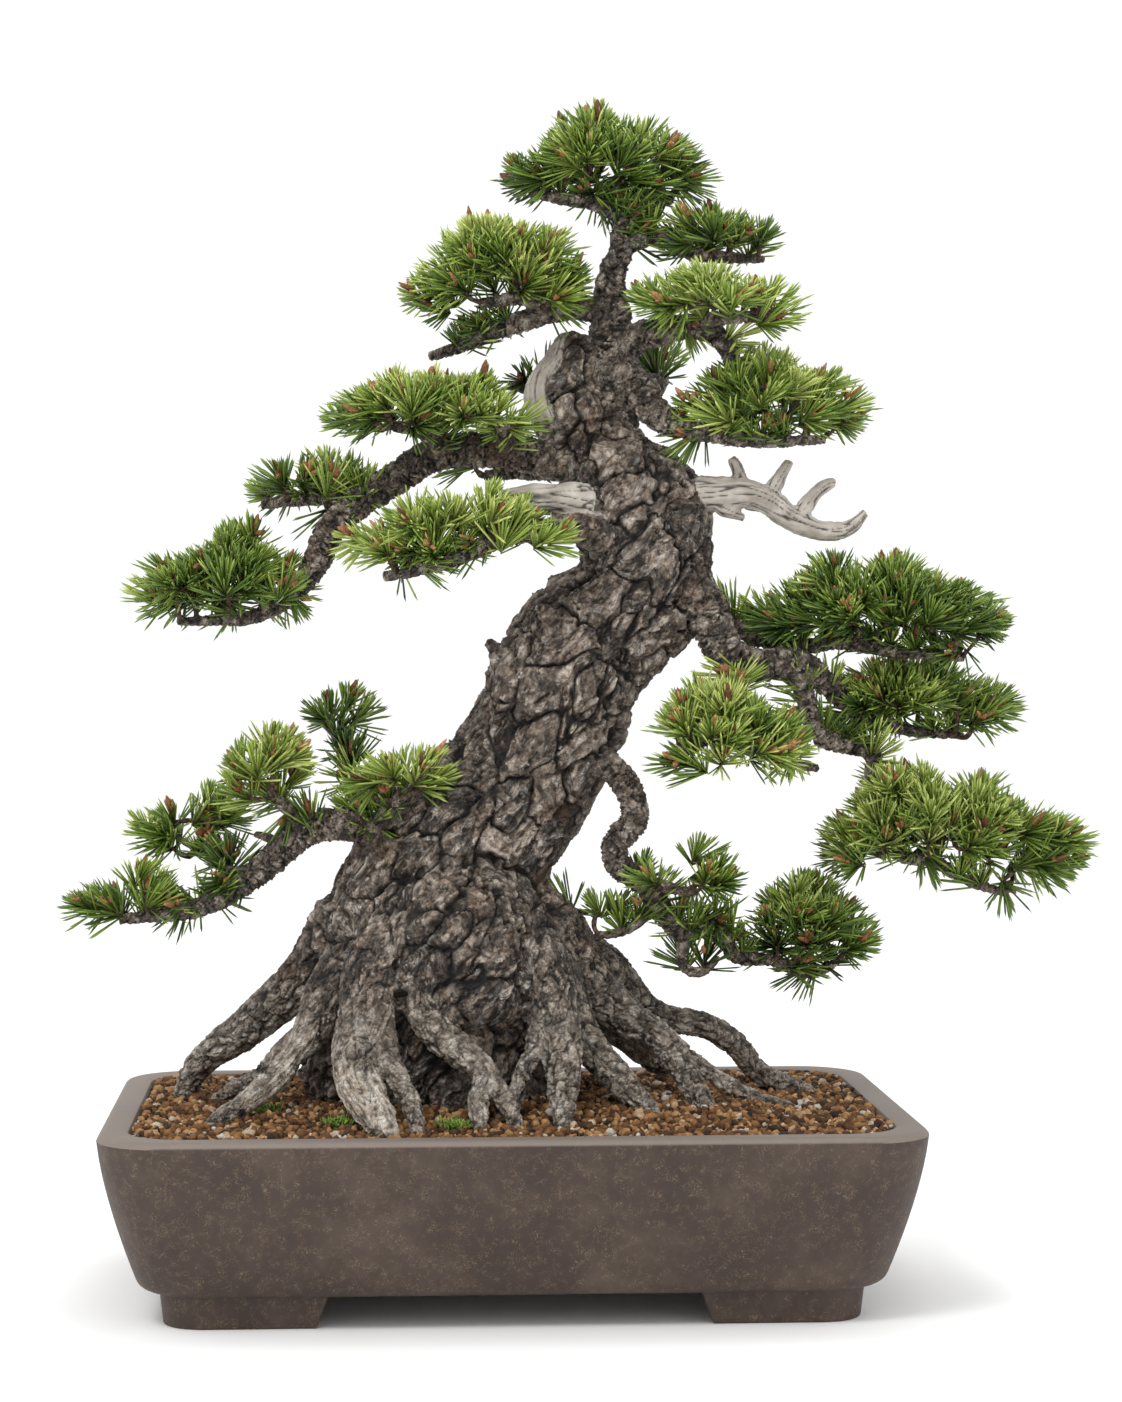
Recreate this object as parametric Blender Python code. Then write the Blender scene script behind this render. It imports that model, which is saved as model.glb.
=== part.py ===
"""A pine bonsai in a rectangular stoneware pot.

The model is in metres with +Z up and the front facing -Y. It is built round the middle of the pot,
with the feet on z = 0, and then moved as a whole so that the middle of its box is over the origin.
"""

import math

import bmesh
import bpy
from mathutils import Vector, noise

# Driving dimensions, in metres
POT_WIDTH = 0.500
POT_DEPTH = 0.340
POT_HEIGHT = 0.117
FOOT_HEIGHT = 0.0205
WALL_FLARE = 0.025  # how far the foot of the wall stands in from the rim
WALL_CURVE = 1.45  # 1 is a straight wall, more is a bellied one
RIM_WIDTH = 0.019
WALL_THICKNESS = 0.014
FLOOR_THICKNESS = 0.012
CORNER_RADIUS = 0.042
LIP_RADIUS = 0.005
EDGE_RADIUS = 0.007  # the turn from the wall to the underside

FOOT_LENGTH_X = 0.104
FOOT_LENGTH_Y = 0.080
FOOT_THICKNESS = 0.024
FOOT_INSET = 0.004
FOOT_SLANT = 0.010
FOOT_TAPER = 0.003

DRAIN_RADIUS = 0.015
DRAIN_SPACING = 0.220

SCREEN_CELL = 0.0042  # bars and openings are equally wide
SCREEN_CELLS = 11  # 4 n + 3 of them put an opening in the middle
SCREEN_THICKNESS = 0.0016
CLIP_LEG_CELLS = 2  # a clip's legs go through the openings this many cells from the middle
CLIP_RADIUS = 0.0008
CLIP_BEND = 0.0030
CLIP_REACH = 0.009  # how far a clip's ends run under the floor, past the hole

SOIL_DROP = 0.004  # the soil's edge lies this far below the rim
SOIL_MOUND = 0.011  # and it rises this far above its edge around the trunk

TREE_HEIGHT = 0.635  # from the rim to the highest needles
TRUNK_DEPTH = 0.86  # the trunk is this much of its width from front to back
BARK_SWELL = 0.10  # burls and hollows, as a share of the trunk's radius
SWELL_FREQUENCY = 22  # of them in a metre

MOSS_BUMPS = 0.25  # as a share of a cushion's size

GAP = 0.0003  # between two pieces that touch
WOOD_GAP = 0.0006  # between the wood and what grows or lies round it
SHARPEST = 0.25  # where faces meet at a sharper angle than this the gap widens no further

# Fineness
CORNER_STEPS = 5
ROUNDED_EDGE = (30, 60, 90)  # degrees
DRILL_SIDES = 24
WIRE_SIDES = 8
TRUNK_SIDES = 16
BOUGH_SIDES = 6
ROOT_SIDES = 7
HEART_SIZE = 0.005  # a cube inside the trunk, with which the limbs are fused
PAD_VOXEL = 0.0050
PAD_TRIANGLES = 120
SOIL_RINGS = (0.82, 0.6, 0.35, 0.1)  # where the mound bends, from the edge to the middle
MOSS_PROBES = 8
MERGE = 0.00005
MM = 0.001

# The sizes that the limbs' and pads' points were laid out for
DRAWN_TREE_HEIGHT = 635
DRAWN_INSIDE_WIDTH = 462
DRAWN_INSIDE_DEPTH = 302

# Limbs of the tree, each a run of (x, y, height above the rim, radius) in millimetres from the pot's middle.
BOUGHS = {
    "trunk": [
        (-47, 8, -13, 74), (-47, 6, 25, 84), (-47, 4, 64, 82), (-46, 0, 113, 71),
        (-31, -4, 153, 60), (-4, -7, 192, 50), (19, -9, 225, 49), (34, -11, 262, 48),
        (48, -12, 286, 45), (71, -11, 307, 41), (85, -9, 325, 41), (89, -6, 349, 43),
        (84, -3, 375, 44), (71, 0, 395, 36), (55, 3, 414, 28), (46, 5, 430, 26), (37, 6, 449, 24),
        (41, 7, 471, 18), (46, 8, 488, 11)],
    "leader": [
        (62, 9, 412, 18), (68, 12, 447, 19), (68, 12, 476, 17), (68, 10, 499, 12.5),
        (67, 8, 520, 9), (73, 6, 542, 7.5), (74, 5, 564, 6), (68, 5, 583, 4)],
    "apex_left": [
        (74, 5, 562, 6), (59, 2, 570, 5), (37, -2, 573, 4), (15, -5, 576, 3)],
    "apex_right": [
        (73, 5, 559, 6), (89, 10, 569, 5), (107, 15, 576, 3)],
    "low_left_bough": [
        (-49, -12, 169, 13), (-73, -22, 172, 11), (-90, -25, 176, 10), (-106, -23, 178, 9.5),
        (-125, -18, 174, 9), (-149, -12, 154, 8.5), (-169, -10, 139, 7.5), (-190, -11, 127, 6),
        (-221, -14, 121, 4.6), (-243, -15, 118, 3)],
    "low_left_stub": [
        (-140, -15, 163, 4), (-149, -18, 169, 3.5), (-159, -20, 172, 2.2)],
    "low_left_stub2": [
        (-154, -11, 150, 4), (-165, -14, 149, 3), (-177, -16, 150, 2.2)],
    "low_left_up": [
        (-169, -10, 139, 5), (-182, 4, 153, 4), (-199, 15, 161, 3)],
    "low_left_front": [
        (-125, -18, 174, 5), (-138, -24, 188, 4.5), (-150, -26, 198, 3)],
    "low_left_back": [
        (-90, -24, 176, 6), (-96, 0, 198, 5), (-104, 25, 223, 4), (-109, 30, 234, 3)],
    "low_left_near": [
        (-85, -24, 175, 6), (-74, -38, 189, 4.5), (-68, -42, 197, 3)],
    "mid_left_bough": [
        (44, -2, 403, 13), (18, -8, 410, 11), (-11, -12, 413, 10.5), (-45, -14, 410, 10),
        (-70, -13, 395, 9.5), (-95, -11, 378, 9), (-113, -9, 360, 8.5), (-119, -9, 344, 8),
        (-133, -9, 325, 6), (-157, -10, 309, 4.6), (-183, -10, 306, 3.6), (-207, -10, 305, 2.6)],
    "mid_left_up": [
        (-91, -11, 380, 6), (-108, 8, 384, 5), (-131, 22, 383, 4), (-155, 27, 380, 3)],
    "mid_left_near": [
        (-42, -14, 410, 7), (-45, -28, 418, 5), (-58, -38, 424, 4), (-77, -42, 427, 3)],
    "mid_left_near2": [
        (-4, -11, 412, 7), (-2, -32, 421, 5), (-6, -46, 429, 3.2)],
    "front_bough": [
        (58, -28, 362, 14), (35, -48, 363, 8), (15, -62, 361, 6.5), (-3, -70, 357, 6),
        (-25, -74, 347, 5), (-47, -76, 339, 4.2), (-78, -76, 332, 3)],
    "back_left_bough": [
        (61, 22, 396, 13), (44, 50, 404, 8), (19, 76, 405, 6), (-10, 90, 402, 3.5)],
    "back_right_bough": [
        (86, 8, 450, 12), (98, 38, 459, 7), (104, 62, 465, 5), (105, 80, 470, 3)],
    "back_low_bough": [
        (46, 28, 262, 14), (50, 62, 272, 9), (54, 88, 279, 7), (56, 108, 284, 4)],
    "small_back_bough": [
        (48, 18, 452, 9), (29, 38, 454, 5), (4, 52, 459, 3)],
    "high_left_bough": [
        (67, 9, 498, 11), (54, 5, 504, 8.5), (30, -5, 502, 7), (5, -8, 493, 6.2),
        (-10, -2, 488, 5.3), (-29, 8, 480, 4.2), (-48, 15, 474, 3)],
    "high_left_near": [
        (30, -5, 502, 6), (11, -14, 508, 4.5), (-17, -20, 505, 3)],
    "high_right_bough": [
        (71, 6, 541, 7), (96, 8, 551, 5.5), (118, 10, 541, 4.5), (144, 10, 538, 3.6),
        (166, 10, 537, 2.6)],
    "shoulder_bough": [
        (70, 12, 477, 13), (83, 4, 486, 10), (98, -6, 489, 8.5), (120, -14, 491, 7),
        (134, -20, 484, 6), (142, -22, 469, 5), (144, -22, 450, 4)],
    "shoulder_up": [
        (116, -13, 491, 6), (135, -28, 496, 4.5), (161, -38, 495, 3)],
    "right_bough": [
        (61, 10, 456, 14), (72, 4, 462, 11), (84, -6, 451, 10), (94, -14, 437, 9),
        (104, -20, 430, 7.5), (124, -24, 424, 5.5), (159, -24, 419, 4.2), (201, -22, 420, 2.8)],
    "jin": [
        (95, -5, 381, 17), (111, -12, 385, 13), (132, -16, 386, 11.5), (151, -17, 386, 10),
        (165, -17, 381, 9), (184, -15, 369, 8), (203, -12, 363, 6.2), (218, -10, 365, 4.2),
        (229, -9, 375, 2.2)],
    "jin_spike": [
        (149, -17, 385, 5), (147, -16, 396, 3.6), (146, -14, 407, 1.8)],
    "jin_spike2": [
        (163, -17, 381, 5), (169, -14, 392, 4), (178, -11, 406, 1.8)],
    "jin_spike3": [
        (183, -15, 369, 5), (194, -10, 385, 4), (209, -6, 395, 1.8)],
    "jin_spike4": [
        (131, -18, 382, 5), (141, -20, 374, 3.8), (150, -21, 369, 1.8)],
    "great_bough": [
        (90, -16, 331, 22), (110, -20, 325, 17), (121, -22, 317, 15), (129, -25, 303, 13),
        (137, -28, 287, 11.5), (154, -27, 278, 10), (184, -16, 279, 8.6), (199, -8, 270, 7.4),
        (221, 8, 252, 5.5), (255, 18, 237, 4.2), (296, 20, 232, 2.8)],
    "great_back": [
        (128, -22, 307, 8), (144, -10, 303, 6), (166, -2, 293, 5), (188, 0, 289, 4.6),
        (211, -4, 292, 4.4), (246, -10, 286, 3.8), (270, -12, 284, 3.2), (292, -12, 282, 2.4)],
    "great_low": [
        (183, -16, 278, 7), (191, -8, 255, 6), (200, -3, 233, 5.8), (220, -1, 226, 5.4),
        (234, 0, 222, 5.2), (235, 0, 207, 5), (237, -1, 188, 4.8), (241, -2, 167, 4.6),
        (255, -3, 155, 4.4), (271, -4, 153, 4), (295, -4, 140, 3.4), (321, -3, 131, 2.5)],
    "great_near": [
        (151, -28, 278, 7.5), (141, -46, 261, 6), (148, -60, 235, 4.6), (168, -64, 219, 3.8),
        (191, -64, 214, 2.6)],
    "great_near2": [
        (142, -48, 259, 5), (121, -62, 233, 4.4), (92, -68, 218, 2.8)],
    "hanging_bough": [
        (48, -28, 223, 11), (65, -38, 213, 8.5), (76, -42, 197, 8), (78, -42, 180, 7.8),
        (67, -40, 167, 7.6), (69, -38, 153, 7.5), (83, -37, 143, 7.2), (98, -35, 122, 6.8),
        (110, -33, 110, 6.2), (126, -31, 113, 5.4), (136, -29, 105, 5), (145, -27, 94, 4.6),
        (164, -24, 92, 3.7), (193, -20, 82, 3), (213, -18, 92, 2.4)],
    "hanging_up": [
        (83, -37, 143, 5), (96, -44, 140, 4), (111, -48, 136, 2.8)],
    "hanging_drop": [
        (110, -33, 110, 4), (112, -32, 87, 3.4), (121, -32, 85, 3), (133, -31, 94, 2)],
    "hanging_twig": [
        (92, -36, 126, 4), (72, -35, 111, 3.2), (54, -33, 108, 2.2)],
    "left_stub": [
        (48, -30, 378, 15), (29, -40, 381, 11), (12, -45, 381, 9), (-5, -47, 381, 6)],
    "front_mound": [
        (-40, -22, 132, 48), (-28, -34, 99, 50), (-25, -38, 76, 42), (-24, -37, 57, 30)],
    "knot_a": [
        (33, -30, 297, 12), (23, -40, 310, 6), (18, -43, 314, 3)],
    "knot_b": [
        (4, -28, 268, 13), (-7, -36, 286, 6), (-13, -40, 292, 3)],
    "knot_c": [
        (33, -22, 151, 12), (45, -26, 161, 6), (52, -28, 167, 3)],
}

# Roots, each a run of (x, y, height above the rim, radius) in millimetres. Their spread follows the pot's inside.
ROOTS = {
    "root_far_left": [
        (-98, 4, 106, 30), (-118, 8, 87, 21), (-135, 12, 72, 15.5), (-168, 22, 43, 12.5),
        (-196, 32, 21, 9), (-206, 38, 0, 7), (-211, 42, -18, 5)],
    "root_left": [
        (-102, -30, 84, 24), (-129, -50, 43, 11), (-144, -62, 25, 9.5), (-162, -78, 11, 8),
        (-180, -92, 2, 6), (-192, -98, -8, 4)],
    "root_left_twin": [
        (-130, -40, 45, 11), (-154, -20, 20, 8), (-178, 2, 4, 7), (-191, 14, -9, 4.5)],
    "root_front": [
        (-77, -40, 104, 28), (-88, -66, 62, 23), (-95, -88, 35, 18), (-86, -116, 13, 14.5),
        (-77, -134, -2, 10), (-74, -137, -15, 6)],
    "root_front_twin": [
        (-79, -84, 42, 12), (-69, -98, 26, 8), (-61, -113, 11, 7), (-58, -128, -4, 5),
        (-57, -133, -13, 4)],
    "root_fork": [
        (-56, -46, 101, 22), (-50, -72, 60, 16), (-32, -82, 42, 12.5), (-17, -90, 29, 10),
        (-21, -102, 16, 8), (-21, -116, 0, 6), (-20, -120, -10, 4)],
    "root_fork_twin": [
        (-19, -89, 30, 9), (-8, -98, 18, 7.5), (0, -110, 4, 5.5), (3, -114, -7, 4)],
    "root_slim": [
        (19, -56, 77, 14), (14, -74, 42, 7.5), (4, -86, 24, 6), (1, -94, 11, 5),
        (-1, -97, 1, 4)],
    "root_mid": [
        (7, -40, 112, 26), (24, -62, 71, 21), (31, -80, 36, 15), (30, -97, 15, 10.5),
        (30, -108, 1, 7), (30, -112, -10, 4.5)],
    "root_mid_right": [
        (23, -34, 87, 23), (45, -46, 47, 15), (63, -58, 26, 12), (83, -72, 5, 8.5),
        (94, -78, -7, 5)],
    "root_right": [
        (24, -14, 110, 30), (50, -20, 78, 21), (74, -26, 57, 15), (98, -32, 40, 12),
        (112, -42, 19, 10), (123, -54, -2, 8), (128, -60, -13, 5)],
    "root_far_right": [
        (54, 10, 85, 24), (96, 16, 53, 12), (131, 22, 44, 10), (147, 26, 34, 9.5),
        (167, 34, 12, 8.5), (197, 42, -1, 6.5), (213, 46, -13, 4)],
    "root_right_twin": [
        (85, -10, 46, 14), (118, -16, 26, 7.5), (142, -22, 11, 6), (161, -26, 3, 5.2),
        (182, -30, -3, 3.8), (192, -32, -10, 3)],
    "root_back": [
        (-22, 30, 94, 34), (2, 70, 44, 18), (20, 98, 14, 12), (36, 116, -5, 8),
        (42, 124, -19, 5)],
    "root_back_left": [
        (-67, 30, 94, 34), (-89, 70, 44, 17), (-109, 96, 18, 12), (-129, 114, 1, 8),
        (-136, 122, -14, 5)],
    "root_back_right": [
        (36, 24, 94, 28), (71, 62, 44, 15), (103, 84, 16, 11), (135, 102, -2, 7.5),
        (145, 110, -16, 5)],
}

# Needle pads, each the lobes (x, y, height above the rim, half width, half depth, half height) in millimetres.
PADS = {
    "low_left_tip": [(-248, -14, 126, 29, 34, 20), (-226, -16, 134, 26, 38, 22)],
    "low_left_upper": [(-216, 14, 172, 28, 34, 20), (-192, 18, 180, 30, 36, 23)],
    "low_left_front": [(-150, -26, 213, 32, 36, 34), (-164, -22, 196, 20, 26, 18)],
    "low_left_back": [(-106, 34, 244, 28, 30, 25)],
    "low_left_inner": [(-78, -46, 206, 26, 30, 24), (-54, -44, 213, 24, 28, 26)],
    "mid_left_tip": [
        (-208, -12, 324, 32, 40, 26), (-176, -8, 330, 38, 50, 30), (-145, -12, 326, 32, 42, 28),
        (-168, 2, 356, 21, 26, 21)],
    "mid_left_back": [
        (-145, 26, 390, 27, 34, 20), (-118, 28, 397, 28, 38, 23), (-98, 24, 393, 22, 30, 20)],
    "mid_left_crown": [
        (-96, -36, 431, 27, 34, 20), (-60, -40, 440, 36, 42, 27), (-20, -46, 436, 34, 38, 27),
        (8, -50, 430, 22, 26, 21)],
    "small_back": [(0, 54, 469, 22, 24, 13)],
    "front": [
        (-84, -76, 350, 27, 32, 23), (-48, -74, 360, 36, 38, 31), (-10, -74, 362, 32, 36, 31),
        (20, -72, 352, 23, 28, 23)],
    "back_left": [(-14, 94, 412, 34, 30, 20), (16, 88, 414, 28, 28, 20)],
    "high_left": [
        (-44, -12, 514, 26, 36, 24), (-14, -12, 530, 34, 46, 35), (24, -16, 525, 32, 40, 33),
        (42, -14, 512, 20, 26, 20)],
    "high_left_back": [(-46, 22, 481, 27, 30, 15), (-22, 20, 485, 22, 26, 14)],
    "apex": [
        (20, 0, 586, 28, 36, 20), (54, 4, 603, 36, 46, 33), (92, 6, 597, 34, 40, 29),
        (112, 12, 584, 22, 30, 18)],
    "high_right": [(124, 8, 549, 30, 34, 24), (152, 12, 549, 26, 30, 21)],
    "shoulder": [(98, -36, 504, 28, 34, 23), (130, -40, 509, 32, 38, 26), (166, -36, 501, 28, 32, 21)],
    "right": [(124, -28, 436, 26, 34, 24), (160, -22, 450, 36, 44, 33), (200, -20, 439, 31, 38, 28)],
    "back_right": [(100, 82, 474, 28, 28, 22)],
    "great_top": [
        (172, -12, 308, 28, 36, 22), (208, -14, 319, 36, 44, 32), (250, -10, 319, 38, 46, 34),
        (292, -10, 307, 33, 38, 26)],
    "great_middle": [(224, 16, 254, 30, 36, 24), (262, 20, 259, 38, 44, 32), (304, 18, 251, 31, 36, 25)],
    "great_front": [(96, -66, 222, 25, 30, 25), (128, -66, 238, 36, 38, 40), (166, -64, 226, 28, 34, 31)],
    "great_low": [
        (218, 2, 158, 30, 36, 29), (256, -2, 182, 40, 46, 39), (300, 0, 173, 42, 48, 39),
        (344, 0, 158, 33, 38, 29)],
    "hanging_left": [(62, -34, 124, 26, 26, 19)],
    "hanging_middle": [(94, -46, 145, 25, 28, 21), (122, -46, 149, 24, 28, 22)],
    "hanging_tip": [(164, -22, 104, 26, 32, 25), (190, -20, 118, 34, 38, 31), (216, -18, 108, 24, 30, 23)],
    "back_low": [(44, 114, 288, 26, 30, 21), (66, 110, 293, 25, 30, 21)],
}

# Moss on the soil: (x, y, radius, height) in millimetres
MOSS = {
    "left": (-152, -54, 9, 4),
    "front": (-106, -106, 8, 5),
    "middle": (-36, -114, 9, 4),
}

SAGGING = 0.72  # a pad's underside is flatter than its top by this much

TREE_SCALE = TREE_HEIGHT / (DRAWN_TREE_HEIGHT * MM)
INSIDE_HALF_X = POT_WIDTH / 2 - RIM_WIDTH
INSIDE_HALF_Y = POT_DEPTH / 2 - RIM_WIDTH
ROOT_SPREAD_X = 2 * INSIDE_HALF_X / (DRAWN_INSIDE_WIDTH * MM)
ROOT_SPREAD_Y = 2 * INSIDE_HALF_Y / (DRAWN_INSIDE_DEPTH * MM)
FLOOR_TOP = FOOT_HEIGHT + FLOOR_THICKNESS
SOIL_EDGE = POT_HEIGHT - SOIL_DROP


# Helpers

def material(name, colour, roughness, metallic=0.0):
    made = bpy.data.materials.new(name)
    made.use_nodes = True
    shader = made.node_tree.nodes["Principled BSDF"]
    shader.inputs["Base Color"].default_value = (*colour, 1.0)
    shader.inputs["Roughness"].default_value = roughness
    shader.inputs["Metallic"].default_value = metallic
    made.diffuse_color = (*colour, 1.0)
    return made


def add_object(name, mesh, finish=None, smooth_angle=None):
    made = bpy.data.objects.new(name, mesh)
    bpy.context.scene.collection.objects.link(made)
    if finish:
        mesh.materials.append(finish)
    if smooth_angle:
        mesh.shade_smooth()
        mesh.set_sharp_from_angle(angle=math.radians(smooth_angle))
    return made


def helper(name, mesh):
    """A cutter or a blank, which is no piece of the object."""
    made = add_object(name, mesh)
    made.hide_render = True
    made.display_type = "WIRE"
    return made


def mesh_from(bm, name):
    """A mesh of triangles, so that a cut sees the same warped faces as everything else does."""
    bmesh.ops.recalc_face_normals(bm, faces=bm.faces)
    bmesh.ops.triangulate(bm, faces=bm.faces)
    mesh = bpy.data.meshes.new(name)
    bm.to_mesh(mesh)
    bm.free()
    return mesh


def settle(obj):
    """Gives the object the mesh that its modifiers make, and drops the modifiers."""
    graph = bpy.context.evaluated_depsgraph_get()
    mesh = bpy.data.meshes.new_from_object(obj.evaluated_get(graph))
    obj.modifiers.clear()
    obj.data = mesh
    return mesh


def boolean(obj, other, operation="DIFFERENCE"):
    cut = obj.modifiers.new(f"{operation.lower()} {other.name}", "BOOLEAN")
    cut.operation = operation
    cut.solver = "EXACT"
    cut.object = other
    return cut


def grown(obj, name, gap):
    """A helper with the object's shape, each of its faces moved outwards by at least the gap."""
    bm = bmesh.new()
    bm.from_mesh(obj.data)
    moved = []
    for vertex in bm.verts:
        normals = [face.normal for face in vertex.link_faces]
        outward = sum(normals, Vector()).normalized()
        flattest = min(outward.dot(normal) for normal in normals)
        moved.append(vertex.co + outward * gap / max(flattest, SHARPEST))
    for vertex, place in zip(bm.verts, moved):
        vertex.co = place
    mesh = bpy.data.meshes.new(name)
    bm.to_mesh(mesh)
    bm.free()
    return helper(name, mesh)


def rounded_ring(half_x, half_y, radius, z):
    """The points of a rounded rectangle, anticlockwise from its right side."""
    centres = ((1, 1, 0), (-1, 1, 90), (-1, -1, 180), (1, -1, 270))
    points = []
    for side_x, side_y, start in centres:
        for step in range(CORNER_STEPS + 1):
            angle = math.radians(start + 90 * step / CORNER_STEPS)
            x = side_x * (half_x - radius) + radius * math.cos(angle)
            y = side_y * (half_y - radius) + radius * math.sin(angle)
            points.append(Vector((x, y, z)))
    return points


def loft(bm, rings):
    """A closed body through the rings, capped at both ends."""
    loops = [[bm.verts.new(point) for point in ring] for ring in rings]
    for lower, upper in zip(loops, loops[1:]):
        for i in range(len(lower)):
            j = (i + 1) % len(lower)
            bm.faces.new((lower[i], lower[j], upper[j], upper[i]))
    bm.faces.new(reversed(loops[0]))
    bm.faces.new(loops[-1])


def add_tube(bm, path, sides, depth=1.0, swell=0.0, gap=0.0):
    """A round limb along 4D points (x, y, z, radius), its rings turned along the path without twist.

    With a gap it is that much larger all round, so that it makes room for the plain limb.
    """
    centres = [Vector(point[:3]) for point in path]
    last = len(path) - 1
    side = Vector((0, 1, 0))
    rings = []
    for i, centre in enumerate(centres):
        along = (centres[min(i + 1, last)] - centres[max(i - 1, 0)]).normalized()
        side = (side - along * side.dot(along)).normalized()
        across = along.cross(side)
        past_end = along * gap * ((i == last) - (i == 0))
        ring = []
        for step in range(sides):
            angle = 2 * math.pi * step / sides
            offset = (side * math.cos(angle) + across * math.sin(angle)) * path[i][3]
            offset *= 1 + swell * noise.noise((centre + offset) * SWELL_FREQUENCY)
            offset.y *= depth
            offset *= 1 + gap / offset.length
            ring.append(centre + offset + past_end)
        rings.append(ring)
    loft(bm, rings)


# The pot

def wall_inset(z):
    """How far the outside of the wall stands in from the rim's edge at a height."""
    down = (POT_HEIGHT - z) / (POT_HEIGHT - FOOT_HEIGHT)
    return WALL_FLARE * max(down, 0) ** WALL_CURVE


def outside_ring(z, inset=0.0):
    inset += wall_inset(z)
    return rounded_ring(POT_WIDTH / 2 - inset, POT_DEPTH / 2 - inset, CORNER_RADIUS - inset * 0.5, z)


def inside_ring(z, gap=0.0):
    """The pot's inside at a height, which leans in with the wall below the rim."""
    down = (POT_HEIGHT - z) / (POT_HEIGHT - FLOOR_TOP)
    at_floor = wall_inset(FLOOR_TOP) + WALL_THICKNESS
    inset = RIM_WIDTH + (at_floor - RIM_WIDTH) * min(max(down, 0), 1) + gap
    radius = CORNER_RADIUS - RIM_WIDTH * 0.6
    return rounded_ring(POT_WIDTH / 2 - inset, POT_DEPTH / 2 - inset, radius, z)


def pot_body():
    rings = [outside_ring(FOOT_HEIGHT, EDGE_RADIUS)]
    for angle in ROUNDED_EDGE:
        turn = math.radians(angle)
        z = FOOT_HEIGHT + EDGE_RADIUS * (1 - math.cos(turn))
        rings.append(outside_ring(z, EDGE_RADIUS * (1 - math.sin(turn))))
    wall_top = POT_HEIGHT - LIP_RADIUS
    wall_foot = FOOT_HEIGHT + EDGE_RADIUS
    for share in (0.3, 0.65, 1.0):
        rings.append(outside_ring(wall_foot + (wall_top - wall_foot) * share))
    for angle in ROUNDED_EDGE:
        turn = math.radians(angle)
        z = wall_top + LIP_RADIUS * math.sin(turn)
        rings.append(outside_ring(z, LIP_RADIUS * (1 - math.cos(turn))))
    rings.append(inside_ring(POT_HEIGHT))
    rings.append(inside_ring(FLOOR_TOP))
    bm = bmesh.new()
    loft(bm, rings)
    return mesh_from(bm, "pot")


def foot_outline(z, side_x, side_y, shrink):
    """An L under one corner of the pot, both of its arms ending in a slanted face."""
    corner = outside_ring(FOOT_HEIGHT, EDGE_RADIUS + FOOT_INSET)[:CORNER_STEPS + 1]
    x = corner[0].x
    y = corner[-1].y
    end_x = x - FOOT_LENGTH_X + shrink * FOOT_SLANT
    end_y = y - FOOT_LENGTH_Y + shrink * FOOT_SLANT
    inner = FOOT_THICKNESS - shrink * FOOT_TAPER
    taper = shrink * FOOT_TAPER
    points = [(x - taper, end_y)]
    points += [(point.x - taper, point.y - taper) for point in corner]
    points += [(end_x, y - taper), (end_x, y - inner), (x - inner, y - inner), (x - inner, end_y)]
    return [Vector((side_x * px, side_y * py, z)) for px, py in points]


def make_pot():
    fired_clay = material("brown stoneware", (0.092, 0.066, 0.052), 0.72)
    pot = add_object("pot", pot_body(), fired_clay, 35)
    for side_x in (-1, 1):
        for side_y in (-1, 1):
            bm = bmesh.new()
            rings = [foot_outline(0.0, side_x, side_y, 1), foot_outline(FOOT_HEIGHT + MM, side_x, side_y, 0)]
            loft(bm, rings)
            boolean(pot, helper("foot blank", mesh_from(bm, "foot blank")), "UNION")
    for side in (-1, 1):
        bm = bmesh.new()
        bmesh.ops.create_cone(
            bm, cap_ends=True, segments=DRILL_SIDES, radius1=DRAIN_RADIUS, radius2=DRAIN_RADIUS,
            depth=FLOOR_THICKNESS * 3)
        drill = helper("drain drill", mesh_from(bm, "drain drill"))
        drill.location = (side * DRAIN_SPACING / 2, 0, FOOT_HEIGHT + FLOOR_THICKNESS / 2)
        boolean(pot, drill)
    return pot


# What holds the soil in

def make_screen(name, x):
    """A flat plastic mesh over a drain hole."""
    size = SCREEN_CELL * SCREEN_CELLS
    bm = bmesh.new()
    bmesh.ops.create_grid(bm, x_segments=SCREEN_CELLS, y_segments=SCREEN_CELLS, size=size / 2)
    openings = []
    for face in bm.faces:
        middle = face.calc_center_median()
        column = round(middle.x / SCREEN_CELL + SCREEN_CELLS // 2)
        row = round(middle.y / SCREEN_CELL + SCREEN_CELLS // 2)
        if column % 2 and row % 2:
            openings.append(face)
    bmesh.ops.delete(bm, geom=openings, context="FACES")
    screen = add_object(name, mesh_from(bm, name), material("black plastic mesh", (0.02, 0.02, 0.02), 0.5))
    thick = screen.modifiers.new("thickness", "SOLIDIFY")
    thick.thickness = SCREEN_THICKNESS
    thick.offset = 1
    screen.location = (x, 0, FLOOR_TOP + GAP)
    return screen


def clip_path():
    """Half of a clip: out under the floor, up through the hole and over the screen."""
    leg = CLIP_LEG_CELLS * SCREEN_CELL
    low = -FLOOR_THICKNESS - GAP - CLIP_RADIUS
    high = GAP + SCREEN_THICKNESS + GAP + CLIP_RADIUS
    points = [(DRAIN_RADIUS + CLIP_REACH, low)]
    for angle in (0, 45, 90):
        turn = math.radians(angle)
        points.append((leg + CLIP_BEND * (1 - math.sin(turn)), low + CLIP_BEND * (1 - math.cos(turn))))
    points.append((leg, high - CLIP_BEND / 2))
    points.append((leg - CLIP_BEND / 4, high - CLIP_BEND / 8))
    points.append((leg - CLIP_BEND, high))
    return points


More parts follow.
